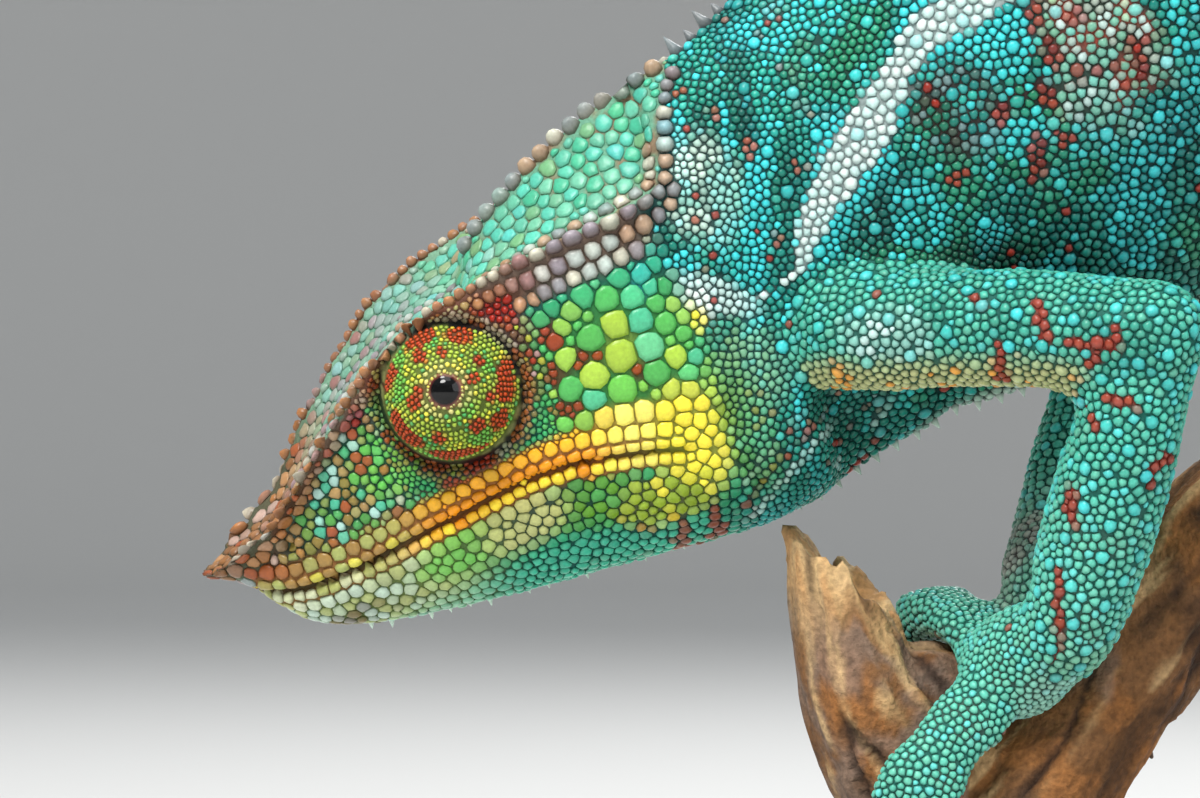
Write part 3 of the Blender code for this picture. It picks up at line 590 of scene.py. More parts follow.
def eye_frame(p, hand):
    """Distance from the eye's middle, and degrees from its gaze and about it (0 ahead, 90 up)."""
    centre, gaze = eyes[hand]
    d = p - centre
    far = np.linalg.norm(d, axis=1)
    ahead = head_turn(1, 0, 0)
    ahead = unit(ahead - ahead.dot(gaze) * gaze)
    up = np.cross(ahead, gaze) * hand
    up = up if up[2] > 0 else -up
    polar = np.degrees(np.arccos(np.clip(d @ gaze / np.maximum(far, 1e-9), -1, 1)))
    return far, polar, np.degrees(np.arctan2(d @ up, d @ ahead))


def orbit(p, hand):
    """Distance from the line out through the turret, and height along it."""
    centre = eyes[hand][0]
    out = head_turn(0.02, hand, 0.30)
    d = p - centre
    high = d @ out
    return np.linalg.norm(d - high[:, None] * out, axis=1), high, out


# folds and grooves, pushed along the normal
normals = normals_of(skin_points, skin_tris)
u, _, w, side, _, lift = head_measures(skin_points)
on_head = np.isin(zone, (HEAD, EYE_L, EYE_R))
push = np.full(len(skin_points), -COAT_DEPTH)
mouth = on_head & (u > -1.2) & (side > 0.4 * curve(LIP_Y, u))
fade = ramp(u, -1.0, 0.6)
push -= np.where(mouth, 0.62 * bell(lift, 0.34) * fade, 0)
push += np.where(mouth, 0.30 * bell(lift - 1.0, 0.6) * fade * ramp(u, 40, 36), 0)
push += np.where(mouth, 0.12 * bell(lift + 1.0, 0.6) * fade, 0)
jowl = bell(u + 3.9 + 0.05 * (w - 2) ** 2, 0.9) * ramp(w, -5.5, -2) * ramp(w, 9.5, 5)
push -= np.where(zone == HEAD, 0.75 * jowl, 0)
ridge_w, ridge_y = curve(RIDGE_W, u), curve(RIDGE_Y, u)
from_ridge = np.hypot(w - ridge_w, side - ridge_y)
push += np.where((zone == HEAD) & (u > -9), 0.45 * bell(from_ridge, 1.0), 0)
push -= np.where((zone == HEAD) & (u > 8), 0.35 * bell(w - ridge_w + 2.4, 0.9) * (side > 0.7 * ridge_y), 0)
nostril = np.hypot(u - 35.3, w - 5.3)
push -= np.where((zone == HEAD) & (side > 2), 0.95 * bell(nostril, 0.55), 0)
push += np.where((zone == HEAD) & (side > 2), 0.30 * bell(nostril - 1.0, 0.4), 0)
skin_points = skin_points + normals * push[:, None]
for hand in (1, -1):
    ring, high, out = orbit(skin_points, hand)
    near = on_head & (high > -4) & (ring < 9.5)
    rim = np.where(near, 0.40 * bell(ring - 7.15, 0.55) - 0.95 * bell(ring - 6.25, 0.36), 0)
    skin_points = skin_points + rim[:, None] * out
    far, polar, turn = eye_frame(skin_points, hand)
    cap = np.isin(zone, (EYE_L, EYE_R)) & (polar < 75) & (far < 7.5)
    dip = np.where(cap, -0.13 * bell(polar - 55, 2.6) - 0.10 * bell(polar - 36, 2.4) * (np.abs(turn) > 40), 0)
    dip = dip + np.where(cap, 0.10 * bell(polar - 15.5, 1.8) - 1.6 * ramp(polar, 13.2, 10.8), 0)
    skin_points = skin_points + dip[:, None] * unit(skin_points - eyes[hand][0])


def body_places(p):
    """Station along the body and share of the way from back to belly, from X and Z alone."""
    t = np.linspace(0, 12, 121)
    back, belly = station_line(t)
    run = (belly - back)[:, [0, 2]]
    d = p[:, None, [0, 2]].astype(np.float32) - back[None, :, [0, 2]].astype(np.float32)
    cross = run[None, :, 0] * d[..., 1] - run[None, :, 1] * d[..., 0]
    behind = cross > 0
    k = np.clip(behind.sum(1) - 1, 0, len(t) - 2)
    rows = np.arange(len(p))
    c0, c1 = cross[rows, k], cross[rows, k + 1]
    f = np.clip(c0 / np.where(np.abs(c0 - c1) < 1e-9, 1, c0 - c1), 0, 1)
    station = t[k] + f * (t[1] - t[0])
    back, belly = station_line(station)
    run = belly - back
    d = p - back
    v = (d[:, 0] * run[:, 0] + d[:, 2] * run[:, 2]) / (run[:, 0] ** 2 + run[:, 2] ** 2)
    return station, v, np.sqrt(run[:, 0] ** 2 + run[:, 2] ** 2)


t_skin, v_skin, _ = body_places(skin_points)
trunk_here = zone == BODY
folds = 0.32 * rough(skin_points * (1, 1, 0.55), 9.0, 3, 2) * ramp(t_skin, 1.0, 3.0)
neck_fold = 0.8 * bell(t_skin - 1.05 + 0.5 * (v_skin - 0.5), 0.28)
folds -= neck_fold * ramp(v_skin, 0.1, 0.35) * ramp(v_skin, 1.0, 0.8)
folds -= 0.55 * bell(t_skin - 2.3 - 1.5 * (v_skin - 0.6), 0.2) * ramp(v_skin, 0.3, 0.5)
ribs = 0.35 * np.cos(9.5 * t_skin) * ramp(v_skin, 0.15, 0.3) * ramp(v_skin, 0.85, 0.6)
folds += ribs * ramp(t_skin, 4.5, 6)
skin_points = skin_points + normals * np.where(trunk_here, folds, 0)[:, None]
limb_zone = np.isin(zone, (UPPER, LOWER, FOOT))
skin_points = skin_points + normals * np.where(limb_zone, 0.16 * rough(skin_points, 3.5, 8, 2), 0)[:, None]


WOOD_STEPS = 260  # points on a branch's middle line


def wood_place(p, path, radii):
    """Nearest place on a branch's middle line: index along it, distance from it, way out, radius there."""
    t = np.linspace(0, len(path) - 1, WOOD_STEPS)
    line = along(path, t)
    k = nearest_rows(line, p)
    run = unit(np.gradient(line, axis=0))[k]
    d = p - line[k]
    d = d - (d * run).sum(1)[:, None] * run
    far = np.linalg.norm(d, axis=1)
    return t[k], far, d / np.maximum(far, 1e-9)[:, None], curve(tuple(enumerate(radii)), t[k])


# where a foot would pass into the wood, its skin rests on the bark instead
foot_rows = np.nonzero(zone == FOOT)[0]
for path, radii in WOODS:
    t, far, out, radius = wood_place(skin_points[foot_rows], path, radii)
    lack = np.where((t > 0.05) & (t < len(path) - 1.05), np.clip(radius + 0.25 - far, 0, 3), 0)
    skin_points[foot_rows] += out * lack[:, None]
skin_points = relaxed(skin_points, pairs, np.where(on_head, 0.12, 0.3), 2)
normals = normals_of(skin_points, skin_tris)
for hand, which in EYE_ZONES.items():
    ring, high, _ = orbit(skin_points, hand)
    zone[(zone == which) & ((ring > 6.4) | (high < 0.2))] = HEAD
u, y, w = head_places(skin_points)
casque = (u > -9.9) & (w > 18) & (w > curve(RIDGE_W, u) - 1.6) & (np.abs(y) < curve(RIDGE_Y, u) + 1.0)
zone[(zone == BODY) & casque] = HEAD
note("folds")

# ---------------------------------------------------------------- colours of skin and coat
PALETTE = {
    "ink": (10, 20, 22), "deep": (10, 62, 62), "pine": (18, 104, 88), "teal": (22, 138, 128),
    "jade": (40, 158, 134), "sea": (70, 190, 172), "sage": (124, 184, 152), "grass": (92, 150, 42),
    "frost": (186, 214, 210), "olive": (146, 150, 96), "turquoise": (58, 204, 210), "aqua": (124, 226, 230),
    "mint": (136, 214, 190), "pale": (206, 226, 212), "white": (226, 230, 226), "leaf": (52, 158, 92),
    "green": (98, 190, 78), "lime": (176, 204, 66), "yellow": (252, 232, 62), "orange": (236, 150, 24),
    "scarlet": (186, 38, 14), "red": (146, 28, 12), "rust": (158, 66, 34), "maroon": (84, 24, 26),
    "lilac": (146, 130, 140), "tan": (186, 146, 104), "grey": (124, 122, 126), "rose": (176, 160, 158),
    "brown": (112, 80, 58), "straw": (206, 196, 128), "moss": (120, 140, 60), "bark": (122, 84, 50),
    "umber": (48, 33, 24), "ash": (124, 113, 106), "wood": (212, 178, 128), "ochre": (160, 104, 54),
    "black": (4, 4, 5),
}


def shade(name):
    """A palette colour as linear light."""
    c = np.array(PALETTE[name]) / 255
    return np.where(c <= 0.04045, c / 12.92, ((c + 0.055) / 1.055) ** 2.4)


def lay(colour, name, amount):
    """Lays a palette colour over the colours in place, by amount from 0 to 1."""
    amount = np.broadcast_to(np.clip(amount, 0, 1), len(colour))[:, None]
    return colour + (shade(name) - colour) * amount


def layers(colour, coats):
    """Lays several palette colours one over another, each by its own amount."""
    for name, amount in coats:
        colour = lay(colour, name, amount)
    return colour


def plain(name, points):
    """One palette colour at every point."""
    return np.tile(shade(name), (len(points), 1))


def mirrored(p):
    """Places with the right side folded onto the left, so that both sides are marked alike."""
    return p * (1, 0, 1) + np.abs(p) * (0, 1, 0)


def roof_of(u, side, w):
    """Where the top of the casque lies, between its two ridges."""
    inside = curve(RIDGE_Y, u) - side
    return (w > curve(RIDGE_W, u) - 0.6 - 3.5 * ramp(inside, 0.3, 2.5)) & (inside > 0.3) & (u > -9.4)


def head_marks(p, chance):
    """Colours of scale and of the skin between them on the head."""
    u, y, w, side, q, lift = head_measures(p)
    even = np.stack([u, side, w], 1)
    blotch, fine = rough(even, 3.2, 11), rough(even, 1.5, 12, 2)
    ridge_w, ridge_y = curve(RIDGE_W, u), curve(RIDGE_Y, u)
    c, g = plain("jade", p), plain("deep", p)
    # temple and cheek: teal above, green and lime plates in the middle
    c = lay(c, "leaf", ramp(q, 17.5, 14) * 0.9)
    cheek = spot(u, q, (2.5, 8.8), (7.5, 6.0))
    c = layers(c, [
        ("green", cheek * (0.65 + 0.35 * blotch)),
        ("lime", cheek * ramp(chance, 0.62, 0.72) * 0.85),
        ("lime", spot(u, q, (2.4, 9.9), (2.0, 1.9)) * 0.9),
        ("green", spot(u, q, (5.5, 5.8), (4.5, 2.0)) * 0.9),
        ("sea", cheek * ramp(chance, 0.16, 0.1) * 0.55),
        ("turquoise", spot(u, q, (-0.6, 14.6), (0.9, 1.0))),
    ])
    g = lay(g, "leaf", cheek * 0.4)
    red = (chance > 0.975) * (chance < 0.99) * (q > 4) * (q < 19) * (u > -7) * (u < 14) * 0.75
    for place in ((1.2, 7.8), (8.6, 6.6), (5.6, 10.4), (8.4, 9.9), (7.8, 13.2)):
        red = np.maximum(red, ramp(spot(u, q, place, (1.0, 0.9)), 0.3, 0.4))
    c = lay(c, "red", red * 0.92)
    # throat and lower jaw
    low = ramp(lift, -0.3, -1.2)
    c = layers(c, [
        ("straw", low * ramp(u, 16, 24) * 0.65),
        ("frost", low * ramp(u, 22, 30) * ramp(chance, 0.45, 0.6) * 0.7),
        ("green", low * spot(u, lift, (21, -3.2), (4.5, 2.0)) * 0.8),
        ("sea", low * ramp(lift, -5, -8) * 0.55),
        ("grass", low * spot(u, lift, (8.5, -4.0), (4.8, 2.3))),
        ("leaf", low * spot(u, lift, (7.5, -4.6), (4.0, 1.9)) * ramp(chance, 0.35, 0.5) * 0.6),
        ("straw", low * spot(u, lift, (15.5, -3.2), (4.0, 2.6)) * 0.75),
        ("pine", ramp(u, 4, -6) * ramp(lift, -3, -7)),
        ("maroon", low * spot(u, lift, (31.5, -5.0), (3.5, 1.6)) * ramp(fine, -0.2, 0.1) * 0.7),
        ("red", low * ramp(lift, -4.6, -6.2) * ramp(u, 12, 6) * ramp(fine, 0.02, 0.2) * 0.8),
    ])
    g = lay(g, "moss", low * ramp(u, 14, 24) * 0.6)
    # lips
    band = ramp(lift - 1.7 * ramp(u, 12, 3), 3.1, 2.3) * ramp(lift, -1.9, -1.3) * ramp(u, -3.5, -1.5)
    sunny = ramp(u, 9, 3) + 0.75 * ramp(chance, 0.3, 0.5) * (lift < 0) + 0.3 * blotch
    sunny = sunny + 0.3 * ramp(lift, 1.0, 2.0)
    c = layers(c, [
        ("orange", band * ramp(u, 31, 23)),
        ("yellow", band * np.clip(sunny, 0, 1) * ramp(u, 28, 22)),
        ("straw", band * ramp(u, 22, 28) * 0.8),
        ("pale", band * ramp(u, 26, 34) * ramp(chance, 0.4, 0.6) * (lift < 0) * 0.4),
        ("moss", band * ramp(u, 24, 30) * ramp(chance, 0.4, 0.3) * (lift < 0) * 0.5),
    ])
    upper_lip = band * (lift > 0) * ramp(u, 21, 27)
    c = layers(c, [
        ("moss", upper_lip * 0.55),
        ("ochre", upper_lip * ramp(chance, 0.5, 0.4) * 0.7),
        ("yellow", upper_lip * (chance > 0.82) * 0.45),
        # a little white over the rear of the lip band: painted highlight
        ("white", band * ramp(u, 9, 3) * 0.16),
    ])
    g = layers(g, [
        ("ochre", band * ramp(u, -3, 2) * 0.9),
        ("bark", band * ramp(u, -3, 2) * 0.5),
        # dark umber close along the line of the mouth, in its groove: painted shade in the crease between the
        # lips
        ("umber", band * ramp(u, -3, 0) * ramp(np.abs(lift), 0.40, 0.22) * 0.9),
    ])
    jowl = spot(u, q, (-0.6, 0.9), (3.4, 4.4))
    c = lay(c, "yellow", jowl * 0.95)
    olive = spot(u, q, (3.0, -3.2), (4.2, 2.0)) * ramp(lift, -1.6, -2.6)
    c = layers(c, [
        ("yellow", olive * 0.8),
        ("grass", np.maximum(olive, jowl * ramp(lift, -1, -3)) * ramp(chance, 0.4, 0.6) * 0.75),
        ("lime", spot(u, q, (-3.9, 1.0), (1.0, 4.5)) * 0.8),
    ])
    g = lay(g, "moss", jowl * 0.8)
    # in front of the eye
    front = ramp(u, 22, 26) * ramp(lift, 2.2, 3.2)
    c = layers(c, [
        ("grass", front * (0.55 + 0.4 * blotch)),
        ("sea", front * ramp(chance, 0.70, 0.78) * 0.6),
        ("frost", front * ramp(chance, 0.90, 0.94) * 0.7),
        ("ochre", front * (chance > 0.30) * (chance < 0.42) * 0.7),
        ("tan", front * ramp(fine, 0.0, 0.25) * 0.6),
        ("ochre", front * ramp(u, 30, 34) * ramp(chance, 0.55, 0.45) * 0.55),
        ("brown", front * ramp(u, 33, 37) * ramp(fine, -0.3, 0.1) * 0.6),
        ("green", spot(u, q, (24.5, 7.6), (3.4, 2.6)) * ramp(lift, 2, 3) * 0.8),
        ("rust", front * ((chance < 0.15) | (fine > 0.42)) * ramp(u, 34, 31) * 0.9),
        ("red", spot(u, q, (25.8, 12.2), (0.9, 0.9))),
        ("leaf", ramp(u, 24, 21) * ramp(u, 12, 14) * ramp(q, 7.2, 5.8) * ramp(lift, 2.4, 3.2) * 0.9),
        ("red", spot(u, q, (19.6, 4.5), (1.6, 0.8)) * 0.9),
    ])
    # scales of the side ridge and those close under it
    wide = ramp(u, 12, 6)
    edge = ramp(np.hypot(w - ridge_w + 0.8, side - ridge_y), 2.0 + 1.4 * wide, 1.2 + 0.7 * wide)
    edge *= ramp(u, 40, 36)
    c = layers(c, [
        ("lilac", edge * 0.8),
        ("tan", edge * ramp(chance, 0.55, 0.7) * 0.6),
        ("rust", edge * ramp(chance, 0.16, 0.1) * 0.7),
        ("sea", edge * ramp(chance, 0.90, 0.94) * 0.6),
    ])
    g = lay(g, "brown", edge * 0.8)
    # roof of the casque
    roof = roof_of(u, side, w)
    c = layers(c, [
        ("sage", roof * (0.75 + 0.4 * blotch)),
        ("sea", roof * ramp(chance, 0.5, 0.6) * 0.6),
        ("moss", roof * ramp(chance, 0.3, 0.24) * ramp(fine, -0.2, 0.1) * 0.6),
        ("tan", roof * ramp(chance, 0.16, 0.1) * ramp(fine, 0.0, 0.2) * 0.7),
        ("leaf", roof * ramp(chance, 0.84, 0.9) * 0.5),
        ("turquoise", roof * ramp(chance, 0.12, 0.06) * 0.5),
        ("green", roof * ramp(blotch, 0.2, 0.6) * ramp(u, 12, 0) * 0.45),
        ("jade", roof * 0.25 * ramp(u, 14, 8)),
        ("lilac", roof * ramp(u, 12, 20) * (0.35 + 0.5 * ramp(fine, -0.1, 0.4))),
        ("rust", roof * ramp(u, 12, 16) * ramp(fine, 0.35, 0.5) * 0.5),
    ])
    g = lay(g, "sage", roof * 0.75)
    g = lay(g, "rust", roof * ramp(fine, 0.1, 0.3) * ramp(u, 14, 8) * 0.7)
    # over and round the eye
    for hand in (1, -1):
        ring, high, _ = orbit(p, hand)
        mine = (y * hand > 0) & (high > -5) & (u < 34) & ~roof
        brow = mine * ramp(ring, 9.4, 8.2) * ramp(q, 12.5, 15)
        c = layers(c, [
            ("tan", brow * 0.85),
            ("ochre", brow * ramp(fine, -0.2, 0.2) * 0.8),
            ("moss", brow * ramp(chance, 0.7, 0.8) * 0.5),
        ])
        behind = mine * ramp(ring, 8.6, 7.9) * ramp(u, 13.5, 10.5) * ramp(q, 8.0, 10.5)
        c = layers(c, [
            ("maroon", behind * 0.8),
            ("rust", behind * ramp(chance, 0.3, 0.45) * 0.6),
            ("leaf", behind * ramp(chance, 0.55, 0.45) * ramp(fine, -0.3, 0.0) * 0.6),
            ("red", behind * ramp(chance, 0.6, 0.7) * 0.7),
            ("rose", behind * ramp(chance, 0.86, 0.9) * 0.7),
            ("lime", behind * ramp(chance, 0.74, 0.78) * ramp(chance, 0.88, 0.86) * 0.8),
            ("red", mine * spot(u, q, (11.2, 16.9), (2.6, 1.7))),
        ])
        g = lay(g, "maroon", np.maximum(behind, brow) * 0.7)
        under = mine * ramp(ring, 7.9, 7.2) * ramp(q, 11, 8)
        c = lay(c, "rust", under * ramp(chance, 0.55, 0.45) * 0.6)
        c = lay(c, "grass", under * ramp(chance, 0.45, 0.55) * ramp(u, 13, 17) * 0.7)
        lid = mine * ramp(ring, 7.3, 6.9)
        c = lay(c, "moss", lid * 0.55)
        rear = ramp(u, 20, 15)
        c = layers(c, [
            ("rose", lid * rear * ramp(fine, 0.1, -0.2) * 0.5),
            ("rust", lid * rear * ramp(fine, -0.1, 0.1) * 0.75),
            ("red", lid * ramp(blotch + 0.4 * fine, 0.12, 0.22) * 0.8),
            ("red", mine * ramp(ring, 9.0, 8.4) * spot(u, q, (17.3, 5.0), (1.5, 1.0)) * 0.9),
            # ink on the scales close round the turret, at the groove: painted shade
            ("ink", mine * ramp(ring, 6.5, 6.3) * ramp(high, 0.2, 1.2) * 0.7),
        ])
        # the skin in the groove round the eye is ink: painted shade in that groove
        g = lay(g, "ink", mine * ramp(ring, 6.5, 6.3))
    # snout
    crust = np.clip(ramp(u, 33.5, 37.5) + ramp(u, 27, 34) * ramp(np.abs(w - ridge_w), 3.0, 1.0), 0, 1)
    crust *= ramp(lift, 1.2, 2.2)
    c = layers(c, [
        ("ochre", crust * 0.95),
        ("tan", crust * ramp(chance, 0.45, 0.6) * 0.4),
        ("rose", crust * ramp(chance, 0.86, 0.9) * 0.6),
        ("bark", crust * ramp(fine, -0.1, 0.15) * 0.8),
        ("rust", crust * ramp(chance, 0.2, 0.12) * 0.6),
        ("lilac", crust * ramp(w - ridge_w, -0.5, 0.5) * (0.35 + 0.4 * ramp(chance, 0.3, 0.6))),
    ])
    g = lay(g, "umber", crust * 0.8)
    # the skin between the big cheek plates takes a darker copy of the plates' own colour: painted shade in
    # the gaps
    plates = (ramp(np.hypot((u - 2.6) / 1.3, q - 9.2), 7.5, 5.5) * ~roof)[:, None]
    g = g + (0.42 * c - g) * 0.6 * plates
    # back of the head passes into the neck
    neck, neck_gap = neck_marks(p, chance)
    back = (ramp(u - 0.12 * np.abs(q - 6), -3.2, -5.6) * ~roof)[:, None]
    return c + (neck - c) * back, g + (neck_gap - g) * back


NECK_LIGHTS = (((18.1, 25.6), (1.6, 2.4), 0.8), ((20.2, 28.6), (2.0, 2.2), 0.8),
               ((13.6, 31.2), (3.6, 1.7), 0.8), ((13.2, 15.0), (1.2, 7.5), 0.9),
               ((10.4, 15.5), (1.0, 4.5), 0.6))


def neck_marks(p, chance):
    """Colours of scale and of the skin between them on the neck and shoulder."""
    u, _, _, side, q, _ = head_measures(p)
    even = mirrored(p)
    blotch, fine = rough(even, 6.0, 21), rough(even, 2.2, 22, 2)
    x, z = p[:, 0], p[:, 2]
    c = lay(plain("teal", p), "jade", 0.4 + 0.6 * blotch)
    c = layers(c, [
        ("pine", ramp(rough(even, 4.2, 30, 2), 0.0, 0.25) * 0.8),
        ("sea", ramp(chance, 0.7, 0.8) * 0.6),
        ("turquoise", (chance > 0.9) * 0.9),
    ])
    streaks = rough(np.stack([u + 0.22 * q, 0.25 * side, 0.16 * q], 1), 2.0, 28, 2)
    c = lay(c, "turquoise", ramp(streaks, 0.05, 0.3) * 0.75)
    c = lay(c, "deep", ramp(streaks, -0.1, -0.4) * 0.55)
    for place, radii, amount in NECK_LIGHTS:
        c = lay(c, "turquoise", spot(x, z, place, radii) * amount * (0.55 + 0.45 * (chance > 0.3)))
    dim = np.maximum(spot(x, z, (17.9, 31.5), (2.4, 3.0)), spot(x, z, (16.6, 26.6), (1.6, 2.2)))
    c = layers(c, [
        ("pine", dim * 0.7),
        ("lilac", dim * (fine > 0.1) * 0.5),
        ("pale", spot(u, q, (-8.4, 20.5), (3.4, 4.6)) * (0.35 + 0.35 * (fine > 0))),
        ("frost", spot(u - 0.9 * (q - 12), q, (-6.2, 11.6), (2.0, 2.6)) * 0.9),
        ("white", spot(u, q, (-4.6, 11.2), (1.6, 1.7)) * 0.7),
        ("yellow", spot(u, q, (-3.6, 10.2), (1.5, 1.3))),
        ("moss", spot(x, z, (11.8, 2.0), (3.2, 4.5)) * (0.25 + 0.4 * (chance > 0.4))),
        ("rust", ramp(fine, 0.42, 0.5) * ramp(chance, 0.45, 0.55) * 0.85),
        ("red", spot(x, z, (15.3, 33.3), (1.3, 0.9)) * 0.9),
        ("red", (chance < 0.008) * 0.9),
    ])
    # throat: pale streaks and rows of red on teal
    low = ramp(q, 0.5, -3)
    streak = np.cos(2.1 * (q + 0.55 * u))
    c = layers(c, [
        ("pine", low * 0.6),
        ("frost", low * ramp(streak, 0.5, 0.9) * ramp(fine, -0.1, 0.1) * 0.6),
        ("red", low * ramp(streak, -0.7, -0.95) * ramp(fine, 0.0, 0.2) * 0.9),
        ("sage", spot(x, z, (13.4, 2.4), (3.4, 3.4)) * 0.45),
        ("grass", spot(u, q, (-5.2, 0.0), (2.4, 6.0)) * 0.55),
    ])
    g = lay(plain("deep", p), "ink", 0.35 + 0.3 * blotch)
    return c, g


def stripe_place(t):
    """Height share of the pale stripe along the flank."""
    return curve(((1.6, 0.56), (1.93, 0.494), (2.35, 0.453), (2.72, 0.428), (3.0, 0.406), (3.28, 0.384),
                  (3.45, 0.350), (3.7, 0.342), (4.3, 0.345), (6, 0.335), (9, 0.34), (11.4, 0.4)), t)


def stripe_of(t, v, tall, p):
    """Distance from the middle of the pale stripe, as a share of its half width."""
    wobble = 0.5 * rough(p * (1, 0, 1), 3.0, 31, 2)
    half = curve(((1.60, 0.05), (1.68, 1.4), (1.93, 1.9), (2.35, 2.4), (3.0, 2.45), (3.28, 2.0), (3.45, 1.5),
                  (3.7, 2.0), (4.3, 2.4), (6, 2.3), (8, 1.8), (11, 1.0), (11.6, 0.2)), t)
    broken = 1 - 0.9 * ramp(rough(p * (1, 0, 1), 7.0, 32, 2), 0.15, 0.4) * ramp(t, 5.0, 6.5)
    return (np.abs(v - stripe_place(t)) * tall + wobble) / np.maximum(half * broken, 0.05)


FLANK_REDS = ((36.4, 33.0, 36.6, 31.4, 0.8), (38.0, 29.8, 38.3, 28.7, 0.8), (36.9, 21.8, 37.1, 18.9, 0.6),
              (37.2, 26.8, 37.8, 25.2, 0.7), (45.4, 29.6, 45.9, 27.8, 0.6), (33.9, 23.8, 34.6, 24.6, 0.6))


def near_strokes(x, z, strokes):
    """How far places lie inside any of some strokes, each with its ends and half width; over 0 is inside."""
    inside = np.full(len(x), -9.0)
    for x0, z0, x1, z1, half in strokes:
        run = (x1 - x0) ** 2 + (z1 - z0) ** 2
        f = np.clip(((x - x0) * (x1 - x0) + (z - z0) * (z1 - z0)) / run, 0, 1)
        inside = np.maximum(inside, half - np.hypot(x - x0 - f * (x1 - x0), z - z0 - f * (z1 - z0)))
    return inside


def body_marks(p, chance):
    """Colours of scale and of the skin between them on the trunk."""
    t, v, tall = body_places(p)
    x, z = p[:, 0], p[:, 2]
    even = mirrored(p)
    blotch, fine, broad = rough(even, 6.5, 23), rough(even, 2.4, 24, 2), rough(even, 13.0, 25, 2)
    c = lay(plain("pine", p), "teal", 0.45 + 0.6 * blotch)
    c = layers(c, [
        ("deep", 0.6 * ramp(broad, 0.05, 0.5)),
        ("deep", ramp(x, 41, 49) * ramp(z, 30, 22) * 0.4),
        ("sea", ramp(chance, 0.55, 0.9) * 0.35),
        ("leaf", ramp(rough(even, 7.5, 35), 0.05, 0.3) * 0.35),
    ])
    lit = rough(even, 4.6, 29, 2)
    c = lay(c, "turquoise", ramp(lit, 0.02, 0.32) * (0.30 + 0.5 * (chance > 0.4)))
    c = lay(c, "turquoise", (chance > 0.94) * 0.7)
    for place, radii in (((34.6, 30.6), (2.4, 2.4)), ((35.4, 22.4), (3.4, 1.6))):
        c = lay(c, "turquoise", spot(x, z, place, radii) * 0.8)
    g = lay(plain("deep", p), "ink", 0.7 + 0.3 * broad)
    # broad upright bands of greyish pink scales with red between them, dark mottles beside them
    phase = t - 4.68 + 0.45 * blotch
    band = ramp(np.abs((phase + 0.95) % 1.9 - 0.95), 0.50, 0.34) * ramp(t, 3.7, 4.1) * ramp(t, 11.8, 11.2)
    band *= ramp(v + 0.08 * fine, 0.70 + 0.18 * ramp(t, 5.4, 6.4), 0.62 + 0.16 * ramp(t, 5.4, 6.4))
    band *= ramp(rough(even, 9.0, 27, 2), -0.5, -0.2)
    c = layers(c, [
        ("sage", band * 0.6),
        ("rose", band * (0.08 + 0.5 * ramp(chance, 0.5, 0.7))),
        ("frost", band * (chance > 0.85) * 0.6),
        ("straw", band * (fine > 0.3) * 0.3),
        ("red", band * ramp(rough(even, 1.6, 33, 2), 0.32, 0.42) * 0.8),
    ])
    g = lay(g, "umber", band * 0.5)
    g = lay(g, "scarlet", band * ramp(fine, 0.0, 0.25) * 0.8)
    dark = ramp(rough(even, 4.6, 26), 0.16, 0.36) * ramp(t, 4.9, 5.3)
    mottle = spot(x + 0.35 * (z - 25), z, (29.4, 25.2), (4.4, 4.6))
    dark = np.maximum(dark, mottle * ramp(rough(even, 1.9, 34, 2), -0.3, 0.0))
    c = layers(c, [
        ("ink", dark * 0.5),
        ("pine", mottle * (chance > 0.5) * 0.6),
        ("maroon", dark * (fine > 0.2) * 0.5),
        ("lilac", dark * ((chance > 0.72) & (fine < 0.1)) * 0.4),
    ])
    g = lay(g, "maroon", mottle * 0.45)
    # belly paler and greener, its middle line whitish
    under = ramp(v, 0.80, 0.97)
    c = layers(c, [
        ("mint", under * 0.35 * ramp(t, 4.6, 5.6)),
        ("pale", ramp(v, 0.965, 0.995) * 0.8),
        ("deep", bell(v - 0.72, 0.12) * 0.35 * ramp(t, 2.6, 4)),
        # ink where the arm meets the body: painted shade in that crease
        ("ink", spot(x, z, (33, 11.5), (4.5, 2.2)) * 0.6),
    ])
    # the pale stripe and its bright blue edge
    s = stripe_of(t, v, tall, p)
    rim = ramp(s, 2.2, 1.3) * ramp(s, 0.8, 1.05) * np.maximum(ramp(lit, -0.35, 0.0), ramp(t, 2.9, 2.4))
    c = layers(c, [
        ("turquoise", rim * (1 - 0.8 * mottle) * 0.85),
        ("frost", ramp(s, 1.06, 0.94) * 0.95),
        ("white", ramp(s, 1.06, 0.94) * ramp(chance, 0.4, 0.9) * 0.5),
        ("red", ((chance < 0.003) | ((fine > 0.46) & (chance < 0.3))) * ramp(s, 1.2, 1.6) * 0.85),
    ])
    g = lay(g, "grey", ramp(s, 1.06, 0.94) * 0.95)
    g = lay(g, "frost", ramp(s, 1.06, 0.94) * 0.35)
    stroke = ramp(near_strokes(x, z, FLANK_REDS) + 0.25 * fine, -0.05, 0.1)
    c = lay(c, "red", stroke * 0.85)
    c = lay(c, "maroon", stroke * (chance > 0.45) * 0.6)
    front, front_gap = neck_marks(p, chance)
    near = (ramp(t + 0.35 * blotch, 2.7, 1.7) * ramp(s, 1.0, 1.3))[:, None]
    return c + (front - c) * near, g + (front_gap - g) * near


def tail_places(p):
    """How far along the tail each place lies, in whole millimetres."""
    return nearest_rows(TAIL_LINE, p).astype(float)


